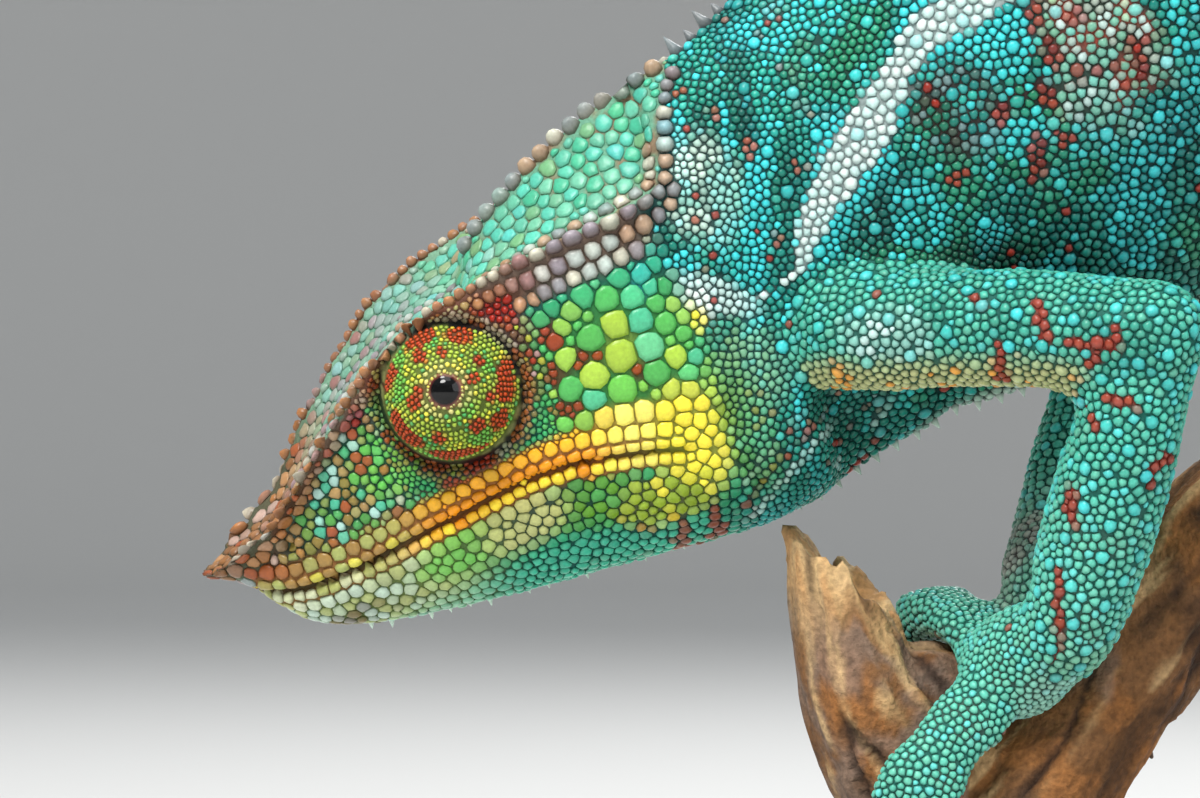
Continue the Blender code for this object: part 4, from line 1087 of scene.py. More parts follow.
def tail_marks(p, chance, s):
    """Dark and pale bars; s is the place along the tail."""
    fine = rough(p, 2.4, 41, 2)
    c = lay(plain("teal", p), "sea", 0.35 + 0.5 * ramp(chance, 0.5, 0.9))
    bar = ramp(np.cos(2 * np.pi * (s / 15.0 + 0.12 * rough(p, 6.0, 42, 2))), 0.0, 0.5)
    c = layers(c, [
        ("deep", bar * 0.75),
        ("maroon", bar * (fine > 0.15) * 0.5),
        ("mint", (1 - bar) * ramp(chance, 0.75, 0.9) * 0.7),
        ("rose", (1 - bar) * ramp(fine, 0.2, 0.4) * 0.5),
        ("red", (chance < 0.02) * 0.8),
    ])
    g = lay(plain("deep", p), "ink", 0.4 + 0.4 * bar)
    return c, g


ARM_REDS = ((36.6, 8.0, 37.1, 5.0, 0.5), (33.6, 4.2, 33.9, 1.8, 0.4), (39.2, 4.7, 43.0, 4.2, 0.55),
            (41.2, 3.2, 43.3, 6.2, 0.5), (42.8, 0.0, 44.7, -0.4, 0.6), (45.9, -6.0, 47.8, -4.8, 0.45),
            (46.6, -5.4, 46.2, -7.0, 0.3), (39.4, -7.7, 39.8, -10.4, 0.5), (38.6, -14.4, 38.7, -22.0, 0.32),
            (30.6, 9.0, 32.4, 7.8, 0.3), (40.6, -0.4, 41.6, -2.6, 0.2))


def limb_marks(p, chance, part_zone, down):
    """Down is how far the surface faces the ground, from 0 to 1."""
    even = mirrored(p)
    blotch, fine = rough(even, 5.0, 51), rough(even, 2.0, 52, 2)
    c = lay(plain("jade", p), "sea", 0.60 + 0.4 * blotch)
    c = lay(c, "sage", 0.15 + 0.35 * ramp(chance, 0.4, 0.9))
    c = lay(c, "turquoise", ramp(chance, 0.75, 0.9) * 0.6)
    g = lay(plain("deep", p), "pine", 0.4 + 0.3 * blotch)
    upper, foot = part_zone == UPPER, part_zone == FOOT
    c = lay(c, "pine", upper * (0.2 + 0.3 * ramp(rough(even, 3.4, 53), 0.0, 0.3)))
    under = ramp(down, 0.35, 0.8) * (upper + 0.25 * (part_zone == LOWER))
    c = lay(c, "straw", under * 0.75)
    c = lay(c, "orange", under * (chance > 0.86) * upper * 0.8)
    hand = foot + (part_zone == LOWER) * ramp(p[:, 2], -4, -16) * (p[:, 0] < FORE_REACH)
    c = lay(c, "mint", np.clip(hand, 0, 1) * 0.22)
    far_hand = np.clip(hand, 0, 1) * ramp(p[:, 1], -2, 2) * (p[:, 0] < FORE_REACH)
    far_hand = far_hand * ramp(p[:, 2], -2, -8) * ramp(p[:, 0], 33.5, 35)
    c = lay(c, "sage", far_hand * 0.5)
    c = lay(c, "rose", far_hand * (0.35 + 0.4 * ramp(fine, -0.1, 0.2)))
    g = lay(g, "grey", far_hand * 0.5)
    g = lay(g, "maroon", np.clip(hand, 0, 1) * ramp(fine, 0.0, 0.25) * 0.4)
    # patch of white beads on the shoulder
    root = np.minimum(np.linalg.norm((p - (24.5, -12.5, 5.6)) * (0.8, 0.6, 1.5), axis=1),
                      np.linalg.norm((p - (24.5, 12.5, 6.6)) * (0.8, 0.6, 1.5), axis=1))
    c = lay(c, "frost", ramp(root, 4.2, 2.6) * (0.35 + 0.55 * ((fine > -0.1) & (chance > 0.3))))
    # short branching marks of red
    bent = even + 1.6 * np.stack([noise(even, 3.0, k) for k in (61, 62, 63)], 1)
    vein = np.minimum(np.abs(noise(bent, 5.2, 64)), np.abs(noise(bent, 4.1, 65)))
    mark = ramp(vein, 0.085, 0.04) * ramp(rough(even, 6.5, 66, 2), 0.1, 0.22) * ~foot
    seen = (p[:, 1] < 0) & (p[:, 0] < FORE_REACH)
    stroke = ramp(near_strokes(p[:, 0], p[:, 2], ARM_REDS) + 0.3 * noise(even, 0.9, 67), -0.05, 0.12)
    mark = np.where(seen, stroke, mark)
    mark = np.maximum(mark, (chance < 0.003) * 0.9)
    c = lay(c, "red", mark * 0.9)
    c = lay(c, "rust", mark * (chance > 0.7) * 0.5)
    g = lay(g, "red", mark * 0.8)
    pad = foot * ramp(down, 0.3, 0.9)
    c = lay(c, "pale", pad * 0.35)
    return c, g


EYE_BLOTCHES = ((118, 62, 16, 15), (78, 56, 15, 12), (8, 58, 27, 13), (-28, 60, 14, 11), (-82, 66, 32, 7),
                (-140, 62, 24, 13), (165, 64, 14, 12), (128, 40, 10, 9), (-48, 42, 10, 9), (-100, 44, 9, 8),
                (42, 40, 9, 6), (-160, 28, 12, 8), (178, 22, 12, 6), (24, 26, 10, 6), (-8, 40, 9, 6),
                (98, 36, 8, 7))


def eye_marks(p, hand, chance):
    """Turret: yellow green granules round the pupil, green and red blotches set out like rays."""
    _, polar, turn = eye_frame(p, hand)
    ring = orbit(p, hand)[0]
    fine = rough(p - eyes[hand][0] + 40, 1.1, 71, 2)
    c = lay(plain("lime", p), "moss", 0.35 + 0.4 * fine)
    c = layers(c, [
        ("straw", ramp(polar, 30, 20) * 0.7),
        ("yellow", (chance > 0.78) * 0.55),
        ("green", ramp(rough(p - eyes[hand][0] + 80, 2.3, 72, 2), 0.08, 0.25) * ramp(polar, 18, 24) * 0.85),
        ("leaf", ((chance < 0.10) & (polar > 22)) * 0.8),
    ])
    red = np.zeros(len(p))
    for angle, place, wide, deep in EYE_BLOTCHES:
        off = (200 - turn - angle + 180) % 360 - 180
        d = np.hypot(off / wide, (polar - place) / deep) + 0.55 * fine
        red = np.maximum(red, ramp(d, 1.1, 0.85))
    c = layers(c, [
        ("scarlet", red * 0.93),
        ("moss", ramp(polar, 76, 82) * 0.9),
        ("straw", bell(polar - 17.2, 1.8) * 0.6),
        ("maroon", bell(polar - 12.6, 1.6) * 0.7),
    ])
    g = lay(plain("moss", p), "ink", 0.55)
    g = lay(g, "maroon", red * 0.7)
    bare = ramp(ring, 5.75, 5.9)
    gap = layers(g, [("olive", bare), ("rust", bare * ramp(fine, 0.1, 0.4) * 0.3)])
    return lay(c, "olive", bare), gap


def marks(p, n, part_zone, chance):
    """Scale and skin colours at points of any part; the same for coat and skin."""
    top, gap = np.zeros((len(p), 3)), np.zeros((len(p), 3))
    for which in np.unique(part_zone):
        rows = np.nonzero(part_zone == which)[0]
        q, r = p[rows], chance[rows]
        if which == HEAD:
            found = head_marks(q, r)
        elif which in (EYE_L, EYE_R):
            found = eye_marks(q, 1 if which == EYE_L else -1, r)
        elif which == BODY:
            found = body_marks(q, r)
        elif which == TAIL:
            found = tail_marks(q, r, tail_places(q))
        else:
            found = limb_marks(q, r, part_zone[rows], -n[rows, 2])
        top[rows], gap[rows] = found
    return np.clip(top, 0.001, 1), np.clip(gap, 0.001, 1)


# ---------------------------------------------------------------- where the scales grow
BEAD, PLATE, CONE, GRANULE, SPINE, DOME = range(6)
PROFILES = {  # rings from the skin up, as shares of outline and height; number of sides; roundness
    BEAD: (((1.0, -0.08), (0.82, 0.64)), 7, 0.35),
    PLATE: (((1.0, -0.15), (0.93, 0.60), (0.62, 0.92)), 11, 0.12),
    CONE: (((1.0, -0.15), (0.87, 0.50), (0.48, 0.90)), 10, 0.18),
    GRANULE: (((1.0, -0.15), (0.72, 0.76)), 6, 0.50),
    SPINE: (((1.0, -0.15), (0.60, 0.30), (0.27, 0.72)), 8, 0.80),
    DOME: (((1.0, -0.08), (0.90, 0.46), (0.60, 0.88)), 8, 0.30),
}
PAINTED_SHADE_AND_HIGHLIGHT = {  # painted shade and highlight: how much of its own colour each ring has, then the top; the rest is the colour between the scales, darkened, as painted shade at the foot; a top above 1 is a painted highlight
    BEAD: (0.28, 0.85, 1.12), PLATE: (0.34, 0.84, 0.98, 1.04), CONE: (0.22, 0.62, 0.98, 1.30),
    GRANULE: (0.28, 0.90, 1.10), SPINE: (0.35, 0.75, 0.95, 1.15), DOME: (0.25, 0.68, 1.0, 1.18),
}
SEEN_PITCH, FAR_PITCH = 0.86, 0.98
TUBERCLE, TAIL_TUBERCLE = 1.26, 1.2  # diameters
CANDIDATES_PER_SCALE, HEXAGON_AREA, EVENING_ROUNDS = 9, 0.866, 9
SET_SPACE, TUBERCLE_SPACE, FILLER_SPACE = 0.47, 0.45, 0.46  # least distance, as a share of both diameters
FIRST_GRANULES, GRANULE_STEP, LAST_GRANULES, GRANULES_REACH = 12.9, 4.3, 88, 5.85  # degrees, and a distance
draw = np.random.default_rng(11)
skin_tree = BVHTree.FromPolygons(skin_points.tolist(), skin_tris.tolist())


def pitch_at(p, part_zone):
    """Distance between neighbouring scales."""
    size = np.full(len(p), SEEN_PITCH)
    u, _, w, side, q, lift = head_measures(p)
    roof = roof_of(u, side, w)
    ring = np.where(roof, 99.0, np.minimum(orbit(p, 1)[0], orbit(p, -1)[0]))
    head = 1.15 + 1.55 * bell(np.hypot((u - 2.6) / 1.3, q - 9.2), 5.0)
    head += 0.55 * spot(u, q, (2.0, 15.5), (3.5, 2.5))
    head = np.where(roof, 1.45 - 0.25 * ramp(u, 9, 17), head)
    head = np.where((ring < 9.2) & (q > 12.5), 0.78, head)
    head = np.where((ring < 8.8) & (u < 13), 0.72, head)
    head = np.where(ring < 7.4, 0.56, head)
    head = np.where((lift < 4.2) & (u > 8) & (ring > 7.9), np.minimum(head, 1.25), head)
    head = np.where((u > 22) & (lift > 2.6) & ~roof, np.minimum(head, 0.98), head)
    head = np.where(lift < -0.2, 1.14 - 0.16 * ramp(lift, -3, -7), head)
    back = ramp(u, -2.5, -5.0) * ~roof
    head = head + (0.72 - head) * back
    t, v, tall = body_places(p)
    body = 0.72 + 0.14 * ramp(t, 1.5, 4.5)
    s = stripe_of(t, v, tall, p)
    body += 0.14 * ramp(s, 1.25, 0.95) * ramp(t, 1.4, 2.2)
    armpit = spot(p[:, 0], p[:, 2], (32, 11.5), (5, 3.5)) * (side < 16)
    body -= 0.16 * armpit
    body = np.where(v > 0.9, 0.86, body)
    size = np.where(part_zone == HEAD, head, np.where(part_zone == BODY, body, size))
    size = np.where(np.isin(part_zone, (UPPER, LOWER)), 0.85, size)
    size = np.where(part_zone == FOOT, 0.74, size)
    size = np.where(part_zone == TAIL, 0.90, size)
    far_side = (p[:, 1] > 4) & np.isin(part_zone, (BODY, UPPER, LOWER))
    size = size * np.where(far_side, FAR_PITCH / SEEN_PITCH, 1)
    return size * np.where((p[:, 0] > FORE_REACH) & (part_zone != HEAD), 1.06, 1)


seeds = []  # place, zone, diameter, kind, height


def seed(places, part_zone, size, kind, height):
    """Puts scales at chosen places, each moved to the nearest skin."""
    for place, s, h in zip(np.atleast_2d(places), np.broadcast_to(size, len(places)),
                           np.broadcast_to(height, len(places))):
        where = skin_tree.find_nearest(Vector(place))
        if where[3] < 3.0:
            seeds.append((tuple(where[0]), part_zone, float(s), kind, float(h)))


def paced(path, pitch, start=0.0):
    """Points along a dense line of points, at one pitch or at a pitch given for each of its points."""
    pitch = np.broadcast_to(pitch, len(path))
    steps = np.linalg.norm(np.diff(path, axis=0), axis=1) / (0.5 * (pitch[1:] + pitch[:-1]))
    gone = np.concatenate([[0], np.cumsum(steps)])
    at = np.arange(start / pitch[0], gone[-1], 1.0)
    return np.stack([np.interp(at, gone, path[:, k]) for k in range(3)], 1)


RIDGE_PITCH = ((-10, 1.25), (-5, 1.5), (-3, 1.75), (3, 1.75), (8, 1.45), (12, 1.08), (26, 1.08), (34, 1.3),
               (43, 1.2))
RIDGE_ROWS = (  # out from the ridge and up, first and last place along it, share of the pitch, height
    (0, 0, 0, 400, 1.0, 0.55), (0.80, -1.5, 215, 385, 0.95, 0.34), (1.1, -3.0, 240, 345, 0.85, 0.26),
    (-1.3, 0.4, 225, 375, 0.85, 0.30),
)
LIP_ROWS = (  # height over the mouth, pitch, start, diameter, first and last place along it, height
    (0.64, 1.28, 0.0, 1.36, 0, 300, 0.36), (2.00, 1.42, 0.65, 1.48, 0, 300, 0.36),
    (-0.62, 1.18, 0.4, 1.26, 0, 300, 0.36), (-1.90, 1.42, 0.9, 1.5, 0, 215, 0.36),
    (3.75, 1.75, 0.3, 1.8, 225, 300, 0.34),
)
fine_u = np.linspace(40.5, -9.8, 400)
for hand in (1, -1):
    pitch = curve(RIDGE_PITCH, fine_u)
    for y_out, w_up, start, end, share, high in RIDGE_ROWS:
        row = head_point(fine_u, hand * (curve(RIDGE_Y, fine_u) + y_out), curve(RIDGE_W, fine_u) + w_up)
        places = paced(row[start:end], share * pitch[start:end], 0.8 * (share < 1))
        places = places[orbit(places, hand)[0] > 7.2] if share < 1 else places
        size = 1.16 * share * curve(RIDGE_PITCH, head_places(places)[0])
        size = size * draw.uniform(0.82, 1.06, len(places))
        seed(places, HEAD, size, CONE, high * size)
    mouth_u = np.linspace(38.4, 0.2, 300)
    for rise, pitch, start, size, first, last, high in LIP_ROWS:
        row = head_point(mouth_u, hand * (curve(LIP_Y, mouth_u) + 0.2), curve(LIP_W, mouth_u) + rise)
        seed(paced(row[first:last], pitch, start), HEAD, size, PLATE, high)
crown_u = np.linspace(12.2, -9.6, 200)
seed(paced(head_point(crown_u, 0, curve(CROWN_W, crown_u)), 1.75), HEAD, 1.95, CONE, 0.95)
crown_u = np.linspace(40, 13.6, 200)
seed(paced(head_point(crown_u, 0, curve(CROWN_W, crown_u)), 1.12), HEAD, 1.25, CONE, 0.35)
throat_u = np.linspace(31, -9, 200)
gular = paced(head_point(throat_u, 0, curve(THROAT_W, throat_u) - 0.4), 1.75)
seed(gular, HEAD, 1.05, SPINE, 1.15 + 0.3 * np.sin(2.4 * np.arange(len(gular))))
line_t = np.linspace(0.75, 11.9, 600)
back, belly = station_line(line_t)
tall = np.linalg.norm(back - belly, axis=1)
back[:, 1] = sway(line_t, 0.0, tall)
belly[:, 1] = sway(line_t, 1.0, tall)
ridge_line = paced(back, SPINE_PITCH / 2)
share = np.linspace(0.75, 11.9, len(ridge_line))
tip = curve(SPINE_HEIGHT, share) * np.where(np.arange(len(ridge_line)) % 2 == 0, 1.0, 0.62)
seed(ridge_line, BODY, 0.75 + 0.62 * tip, SPINE, tip)
under = paced(belly, 2.0)
seed(under, BODY, 0.95, SPINE, np.linspace(1.0, 0.55, len(under)))
for side in (-1, 1):
    beside = ridge_line + (-0.4, side * 1.5, -0.5)
    seed(beside, BODY, 1.15, CONE, 0.45)

# turret granules stand in rings round the pupil
for hand in (1, -1):
    centre, gaze = eyes[hand]
    first = unit(np.cross(gaze, (0, 0, 1)))
    second = np.cross(gaze, first)
    for k, polar in enumerate(np.arange(FIRST_GRANULES, LAST_GRANULES, GRANULE_STEP)):
        pitch = 0.34 if k == 0 else 0.48 + 0.05 * ramp(polar, 50, 20)
        count = max(8, round(2 * math.pi * TURRET_RADIUS * math.sin(math.radians(polar)) / pitch))
        a = 2 * np.pi * (np.arange(count) + 0.5 * (k % 2)) / count
        a = a + draw.normal(0, 0.10 / count * 2 * np.pi, count)
        tilt = np.radians(polar + draw.normal(0, 0.45, count))
        place = centre + TURRET_RADIUS * (np.cos(tilt)[:, None] * gaze + np.sin(tilt)[:, None]
                                          * (np.cos(a)[:, None] * first + np.sin(a)[:, None] * second))
        ring, high, _ = orbit(place, hand)
        place = place[(ring < GRANULES_REACH) & (high > 0.4)]
        seed(place, EYE_ZONES[hand], pitch * 1.02, GRANULE, 0.19 if k else 0.26)

# where two set scales would overlap, the later one is dropped
kept, dropped, seen = [], set(), kd_tree([s[0] for s in seeds])
for k, s in enumerate(seeds):
    if k not in dropped:
        kept.append(s)
        close = seen.find_range(s[0], 0.7 * s[2])
        dropped.update(j for _, j, d in close if j > k and d < 0.32 * (s[2] + seeds[j][2]))
seeds = kept
seed_points = np.array([s[0] for s in seeds])
seed_size = np.array([s[2] for s in seeds])
note("%d set scales" % len(seeds))

pitch_skin = pitch_at(skin_points, zone)
corners = skin_points[skin_tris]
one_side, other_side = corners[:, 1] - corners[:, 0], corners[:, 2] - corners[:, 0]
face_area = 0.5 * np.linalg.norm(np.cross(one_side, other_side), axis=1)
face_pitch = pitch_skin[skin_tris].mean(1)
wanted = face_area / (HEXAGON_AREA * face_pitch ** 2)
wanted[np.isin(zone[skin_tris[:, 0]], (EYE_L, EYE_R))] = 0
expected = wanted.sum()
total = int(CANDIDATES_PER_SCALE * expected)
face = np.searchsorted(np.cumsum(wanted) / expected, draw.random(total))
face = np.clip(face, 0, len(skin_tris) - 1)
r1, r2 = np.sqrt(draw.random(total)), draw.random(total)
share = np.stack([1 - r1, r1 * (1 - r2), r1 * r2], 1)
pool = (corners[face] * share[:, :, None]).sum(1)
pool_normal = unit((normals[skin_tris[face]] * share[:, :, None]).sum(1))
pool_zone = zone[skin_tris[face, 0]]
pool_size = pitch_at(pool, pool_zone) * draw.uniform(0.90, 1.14, total)
note("%d expected, pool of %d" % (expected, total))

# no scale in the mouth line, in the groove round an eye, or where a foot lies on the wood
u, _, w, side, _, lift = head_measures(pool)
dead = (pool_zone == HEAD) & (np.abs(lift) < 0.2) & (u > 0) & (side > 0.4 * curve(LIP_Y, u))
for hand in (1, -1):
    ring, high, _ = orbit(pool, hand)
    dead |= (pool_zone == HEAD) & (ring < 6.4) & (high > -1.2) & ~roof_of(u, side, w)
for path, radii in WOODS:
    rows = np.nonzero(pool_zone == FOOT)[0]
    t, far, _, radius = wood_place(pool[rows], path, radii)
    dead[rows] |= (far < radius + 0.42) & (t > 0.05) & (t < len(path) - 1.05)
pool_tree = kd_tree(pool)


def cleared(p, size, share, reach, alive):
    """Takes out the candidates nearer to a scale than a share of the two diameters together."""
    for _, k, d in pool_tree.find_range(p, reach):
        if d < share * (size + pool_size[k]):
            alive[k] = False


alive = (~dead).tolist()
for p, s in zip(seed_points.tolist(), seed_size.tolist()):
    cleared(p, s, SET_SPACE, 0.5 * s + 0.9, alive)
facing = pool_normal.tolist()


def scattered(order, reach, alive):
    """Dart throwing: takes candidates in the given order, each clearing a space on its own surface."""
    taken = []
    for k in order.tolist():
        if alive[k]:
            taken.append(k)
            nx, ny, nz = facing[k]
            for _, j, _ in pool_tree.find_range(pool[k], reach[k]):
                if alive[j]:
                    mx, my, mz = facing[j]
                    if nx * mx + ny * my + nz * mz > 0.0:
                        alive[j] = False
    return taken


# large tubercles first, far apart, then the beads between them
may = np.isin(pool_zone, (BODY, UPPER, LOWER, TAIL))
t_pool = body_places(pool)[0]
may &= (pool_zone != BODY) | (t_pool > 1.6)
tubercle_gap = np.where(pool_zone == TAIL, 4.6, np.where(pool_zone == BODY, 3.6, 2.7))
spare = [a and m for a, m in zip(alive, may.tolist())]
big = np.array(scattered(draw.permutation(total)[: total // 3],
                         tubercle_gap * draw.uniform(0.75, 1.3, total), spare))
for p in pool[big].tolist():
    cleared(p, TUBERCLE, TUBERCLE_SPACE, 0.5 * TUBERCLE + 0.6, alive)
small = np.array(scattered(draw.permutation(total), 0.74 * pool_size, alive))
# small fillers in what is left between them
taken = np.vstack([pool[small], pool[big], seed_points])
taken_size = np.concatenate([pool_size[small], np.full(len(big), TUBERCLE), seed_size])
taken_tree = kd_tree(taken)
fill_size = np.where((pool_zone == HEAD) & (pool_size > 1.3), 0.85, 0.66 * pool_size)
free = np.zeros(total, bool)
for k in np.nonzero(~dead)[0].tolist():
    _, j, d = taken_tree.find(pool[k])
    if d > FILLER_SPACE * (taken_size[j] + fill_size[k]):
        free[k] = True
filler = scattered(draw.permutation(np.nonzero(free)[0]), 0.92 * fill_size, free.tolist())
pool_size[filler] = fill_size[filler]
small = np.concatenate([small, np.array(filler, int)])
note("%d tubercles, %d scales, %d fillers" % (len(big), len(small), len(filler)))

roots = np.vstack([seed_points, pool[big], pool[small]])
root_zone = np.concatenate([[s[1] for s in seeds], pool_zone[big], pool_zone[small]])
root_size = np.concatenate([seed_size, np.where(pool_zone[big] == TAIL, TAIL_TUBERCLE, TUBERCLE),
                            pool_size[small]])
root_kind = np.concatenate([[s[3] for s in seeds], np.full(len(big), BEAD),
                            np.where((pool_zone[small] == HEAD) & (pool_size[small] > 1.0), PLATE, BEAD)])
root_height = np.concatenate([[s[4] for s in seeds], np.full(len(big), 0.40),
                              np.where(root_kind[-len(small):] == PLATE, 0.15 + 0.07 * pool_size[small],
                                       0.34 * pool_size[small])])
fixed = np.arange(len(roots)) < len(seeds) + len(big)


def neighbours(points, count):
    """The rows of the nearest other points, nearest first."""
    tree = kd_tree(points)
    found = [[hit[1] for hit in tree.find_n(p, count + 1)] for p in points.tolist()]
    return np.array(found)[:, 1:]


def seated(points):
    """Points moved to the skin, and the skin's smooth normal there."""
    place, way = np.empty_like(points), np.empty_like(points)
    for k, p in enumerate(points.tolist()):
        where, _, tri, _ = skin_tree.find_nearest(p)
        place[k] = where
        a, b, c = skin_tris[tri]
        way[k] = normals[a] + normals[b] + normals[c]
    return place, unit(way)


roots, root_normal = seated(roots)
near = neighbours(roots, 12)
# the beads push one another apart till they lie evenly; set scales and tubercles stay
for _ in range(EVENING_ROUNDS):
    d = roots[near] - roots[:, None]
    far = np.linalg.norm(d, axis=2)
    want = 0.52 * (root_size[near] + root_size[:, None])
    mine = (root_normal[near] * root_normal[:, None]).sum(2) > 0.2
    force = np.where(mine, np.clip(1 - far / want, 0, 1), 0)
    shift = -(force[..., None] * d / np.maximum(far, 1e-6)[..., None]).sum(1) * 0.42 * root_size[:, None]
    length = np.linalg.norm(shift, axis=1, keepdims=True)
    shift *= np.minimum(1, 0.25 * root_size[:, None] / np.maximum(length, 1e-9))
    roots = roots + np.where(fixed[:, None], 0, shift)
    roots, root_normal = seated(roots)
near = neighbours(roots, 13)
# where the photo shows the animal, beads are finer domes
root_kind[(root_kind == BEAD) & (roots[:, 0] < 66) & (roots[:, 1] < 8)] = DOME
chance = draw.random(len(roots))
top, gap = marks(roots, root_normal, root_zone, chance)
note("%d scales placed" % len(roots))

# special colours of crests, tubercles and spines
crest = root_kind == CONE
on_crown = crest & (root_zone == HEAD)
uu, yy, ww = head_places(roots)
fore = on_crown & (uu > 27)
pale = np.zeros(len(roots))
pale[on_crown] = 0.45 * (draw.random(on_crown.sum()) > 0.72)
t_root, v_root, _ = body_places(roots)
dorsal = (root_kind == SPINE) & (root_zone == BODY) & (v_root < 0.5)
ventral = (root_kind == SPINE) & ~dorsal
top = layers(top, [
    ("lilac", on_crown * 0.6),
    ("grey", on_crown * 0.6 * ramp(chance, 0.35, 0.5)),
    ("tan", on_crown * 0.6 * ramp(chance, 0.66, 0.76)),
    ("ochre", on_crown * 0.75 * ramp(uu, 6, 12) * (np.abs(yy) > 2)),
    ("ochre", fore * (0.25 + 0.5 * chance)),
    ("lilac", fore * 0.6 * ramp(chance, 0.35, 0.25)),
    ("bark", fore * 0.7 * ramp(chance, 0.8, 0.86)),
    ("pale", pale),
    ("grey", dorsal * (0.75 * ramp(t_root, 6, 1) + 0.15)),
    ("aqua", dorsal * (chance > 0.8) * 0.7),
    ("pale", ventral * 0.8),
])
gap = lay(gap, "brown", on_crown * 0.75)
bump = np.zeros(len(roots), bool)
bump[len(seeds):len(seeds) + len(big)] = True
dull = (np.abs(top - shade("white")).sum(1) > 0.5) & (top[:, 0] < 1.3 * top[:, 2])
glow = bump & dull & np.isin(root_zone, (BODY, UPPER, LOWER))
top = lay(top, "turquoise", glow * (np.where(root_zone == BODY, 0.22, 0.35) + 0.25 * chance))
top = np.clip(top * (0.88 + 0.24 * draw.random(len(roots)))[:, None], 0, 1)


# ---------------------------------------------------------------- the coat's mesh
def outlines(rows, sides, roundness, turn):
    """Distance to each scale's edge along its own rays: half way to its neighbours, corners rounded."""
    n = root_normal[rows]
    first = unit(np.cross(n, np.where(np.abs(n[:, :1]) < 0.8, (1.0, 0, 0), (0, 1.0, 0))))
    second = np.cross(n, first)
    angle = turn[:, None] + 2 * np.pi * np.arange(sides) / sides
    rays = np.cos(angle)[..., None] * first[:, None] + np.sin(angle)[..., None] * second[:, None]
    d = roots[near[rows]] - roots[rows][:, None]
    flat = d - (d * n[:, None]).sum(2)[..., None] * n[:, None]
    far = np.maximum(np.linalg.norm(flat, axis=2), 1e-6)
    whole = np.linalg.norm(d, axis=2)
    a, b = 0.5 * root_size[rows][:, None], 0.5 * root_size[near[rows]]
    middle = (whole ** 2 + a ** 2 - b ** 2) / (2 * whole)
    middle = np.clip(middle, 0.25 * whole, 0.75 * whole)
    cosine = np.einsum("nkc,nmc->nkm", rays, flat / far[..., None])
    mine = (root_normal[near[rows]] * n[:, None]).sum(2) > 0.0
    edge = np.where((cosine > 0.12) & mine[:, None], middle[:, None] / np.maximum(cosine, 0.12), 9.0).min(2)
    edge = np.minimum(edge, 0.70 * root_size[rows][:, None])
    mean = edge.mean(1, keepdims=True)
    edge = edge + roundness * (np.minimum(edge, mean) - edge)
    return rays, np.maximum(edge - 0.022 - 0.006 * root_size[rows][:, None], 0.15)


def on_skin(points):
    return np.array([skin_tree.find_nearest(p)[0] for p in points.tolist()])


def coat_piece(name, rows, order_by):
    """Solid scales of some roots as one mesh: every kind of scale is a dome of rings on its own outline."""
    blocks, shift = [], 0
    place_uv = np.zeros((len(rows), 2))
    strips = max(1, int(math.sqrt(len(rows))))
    ranked = np.argsort(order_by[0][rows], kind="stable")
    for k, strip in enumerate(np.array_split(ranked, strips)):
        inner = strip[np.argsort(order_by[1][rows][strip], kind="stable")]
        place_uv[inner, 0] = (np.arange(len(inner)) + 0.5) / len(inner)
        place_uv[inner, 1] = (k + 0.5) / strips
    for kind, (rings, sides, roundness) in PROFILES.items():
        own = np.nonzero(root_kind[rows] == kind)[0]
        if not len(own):
            continue
        these = rows[own]
        turn = 2 * np.pi * chance[these] * 7.31
        rays, edge = outlines(these, sides, roundness, turn)
        n, high = root_normal[these], root_height[these]
        points, colour, uv = [], [], []
        for (share, rise), own_share in zip(rings, PAINTED_SHADE_AND_HIGHLIGHT[kind]):
            foot = roots[these][:, None] + rays * (share * edge)[..., None]
            if rise < 0 or kind in (PLATE, CONE):
                foot = on_skin(foot.reshape(-1, 3)).reshape(foot.shape)
            points.append(foot + n[:, None] * (rise * high)[:, None, None])
            # painted shade: each ring mixes the scale's own colour with the colour between the scales,
            # darkened by 0.72, more of it the lower the ring
            tone = top[these] * own_share + gap[these] * 0.72 * (1 - own_share)
            colour.append(np.repeat(tone[:, None], sides, 1))
            uv.append(place_uv[own][:, None] + 0.0015 * share * np.stack(
                [np.cos(turn[:, None] + 2 * np.pi * np.arange(sides) / sides),
                 np.sin(turn[:, None] + 2 * np.pi * np.arange(sides) / sides)], -1))
        points.append((roots[these] + n * high[:, None])[:, None])
        # painted highlight: the top is the scale's colour times the last share, brighter than its own colour
        # for most kinds
        colour.append((top[these] * PAINTED_SHADE_AND_HIGHLIGHT[kind][-1])[:, None])
        uv.append(place_uv[own][:, None])
        per = len(rings) * sides + 1
        points, colour, uv = (np.concatenate(x, 1).reshape(len(these) * per, -1)
                              for x in (points, colour, uv))
        k = np.arange(sides)
        turned = (k + 1) % sides
        tris = []
        for r in range(len(rings) - 1):
            a, b, c, d = r * sides + k, r * sides + turned, (r + 1) * sides + turned, (r + 1) * sides + k
            tris += [np.stack([a, b, c], 1), np.stack([a, c, d], 1)]
        last = (len(rings) - 1) * sides
        tris.append(np.stack([last + k, last + turned, np.full(sides, per - 1)], 1))
        tris.append(np.stack([np.zeros(sides - 2, int), k[2:], k[1:-1]], 1))
        tris = np.concatenate(tris)[None] + per * np.arange(len(these))[:, None, None] + shift
        blocks.append((points, tris.reshape(-1, 3), colour, uv))
        shift += len(points)
    points, tris, colour, uv = (np.concatenate([b[k] for b in blocks]) for k in range(4))
    mesh = new_mesh(name, points, tris)
    paint(mesh, colour)
    layer = mesh.uv_layers.new(name="OFBake")
    layer.uv.foreach_set("vector", np.ascontiguousarray(uv[tris.ravel()], np.float32).ravel())
    return new_object(name, mesh)


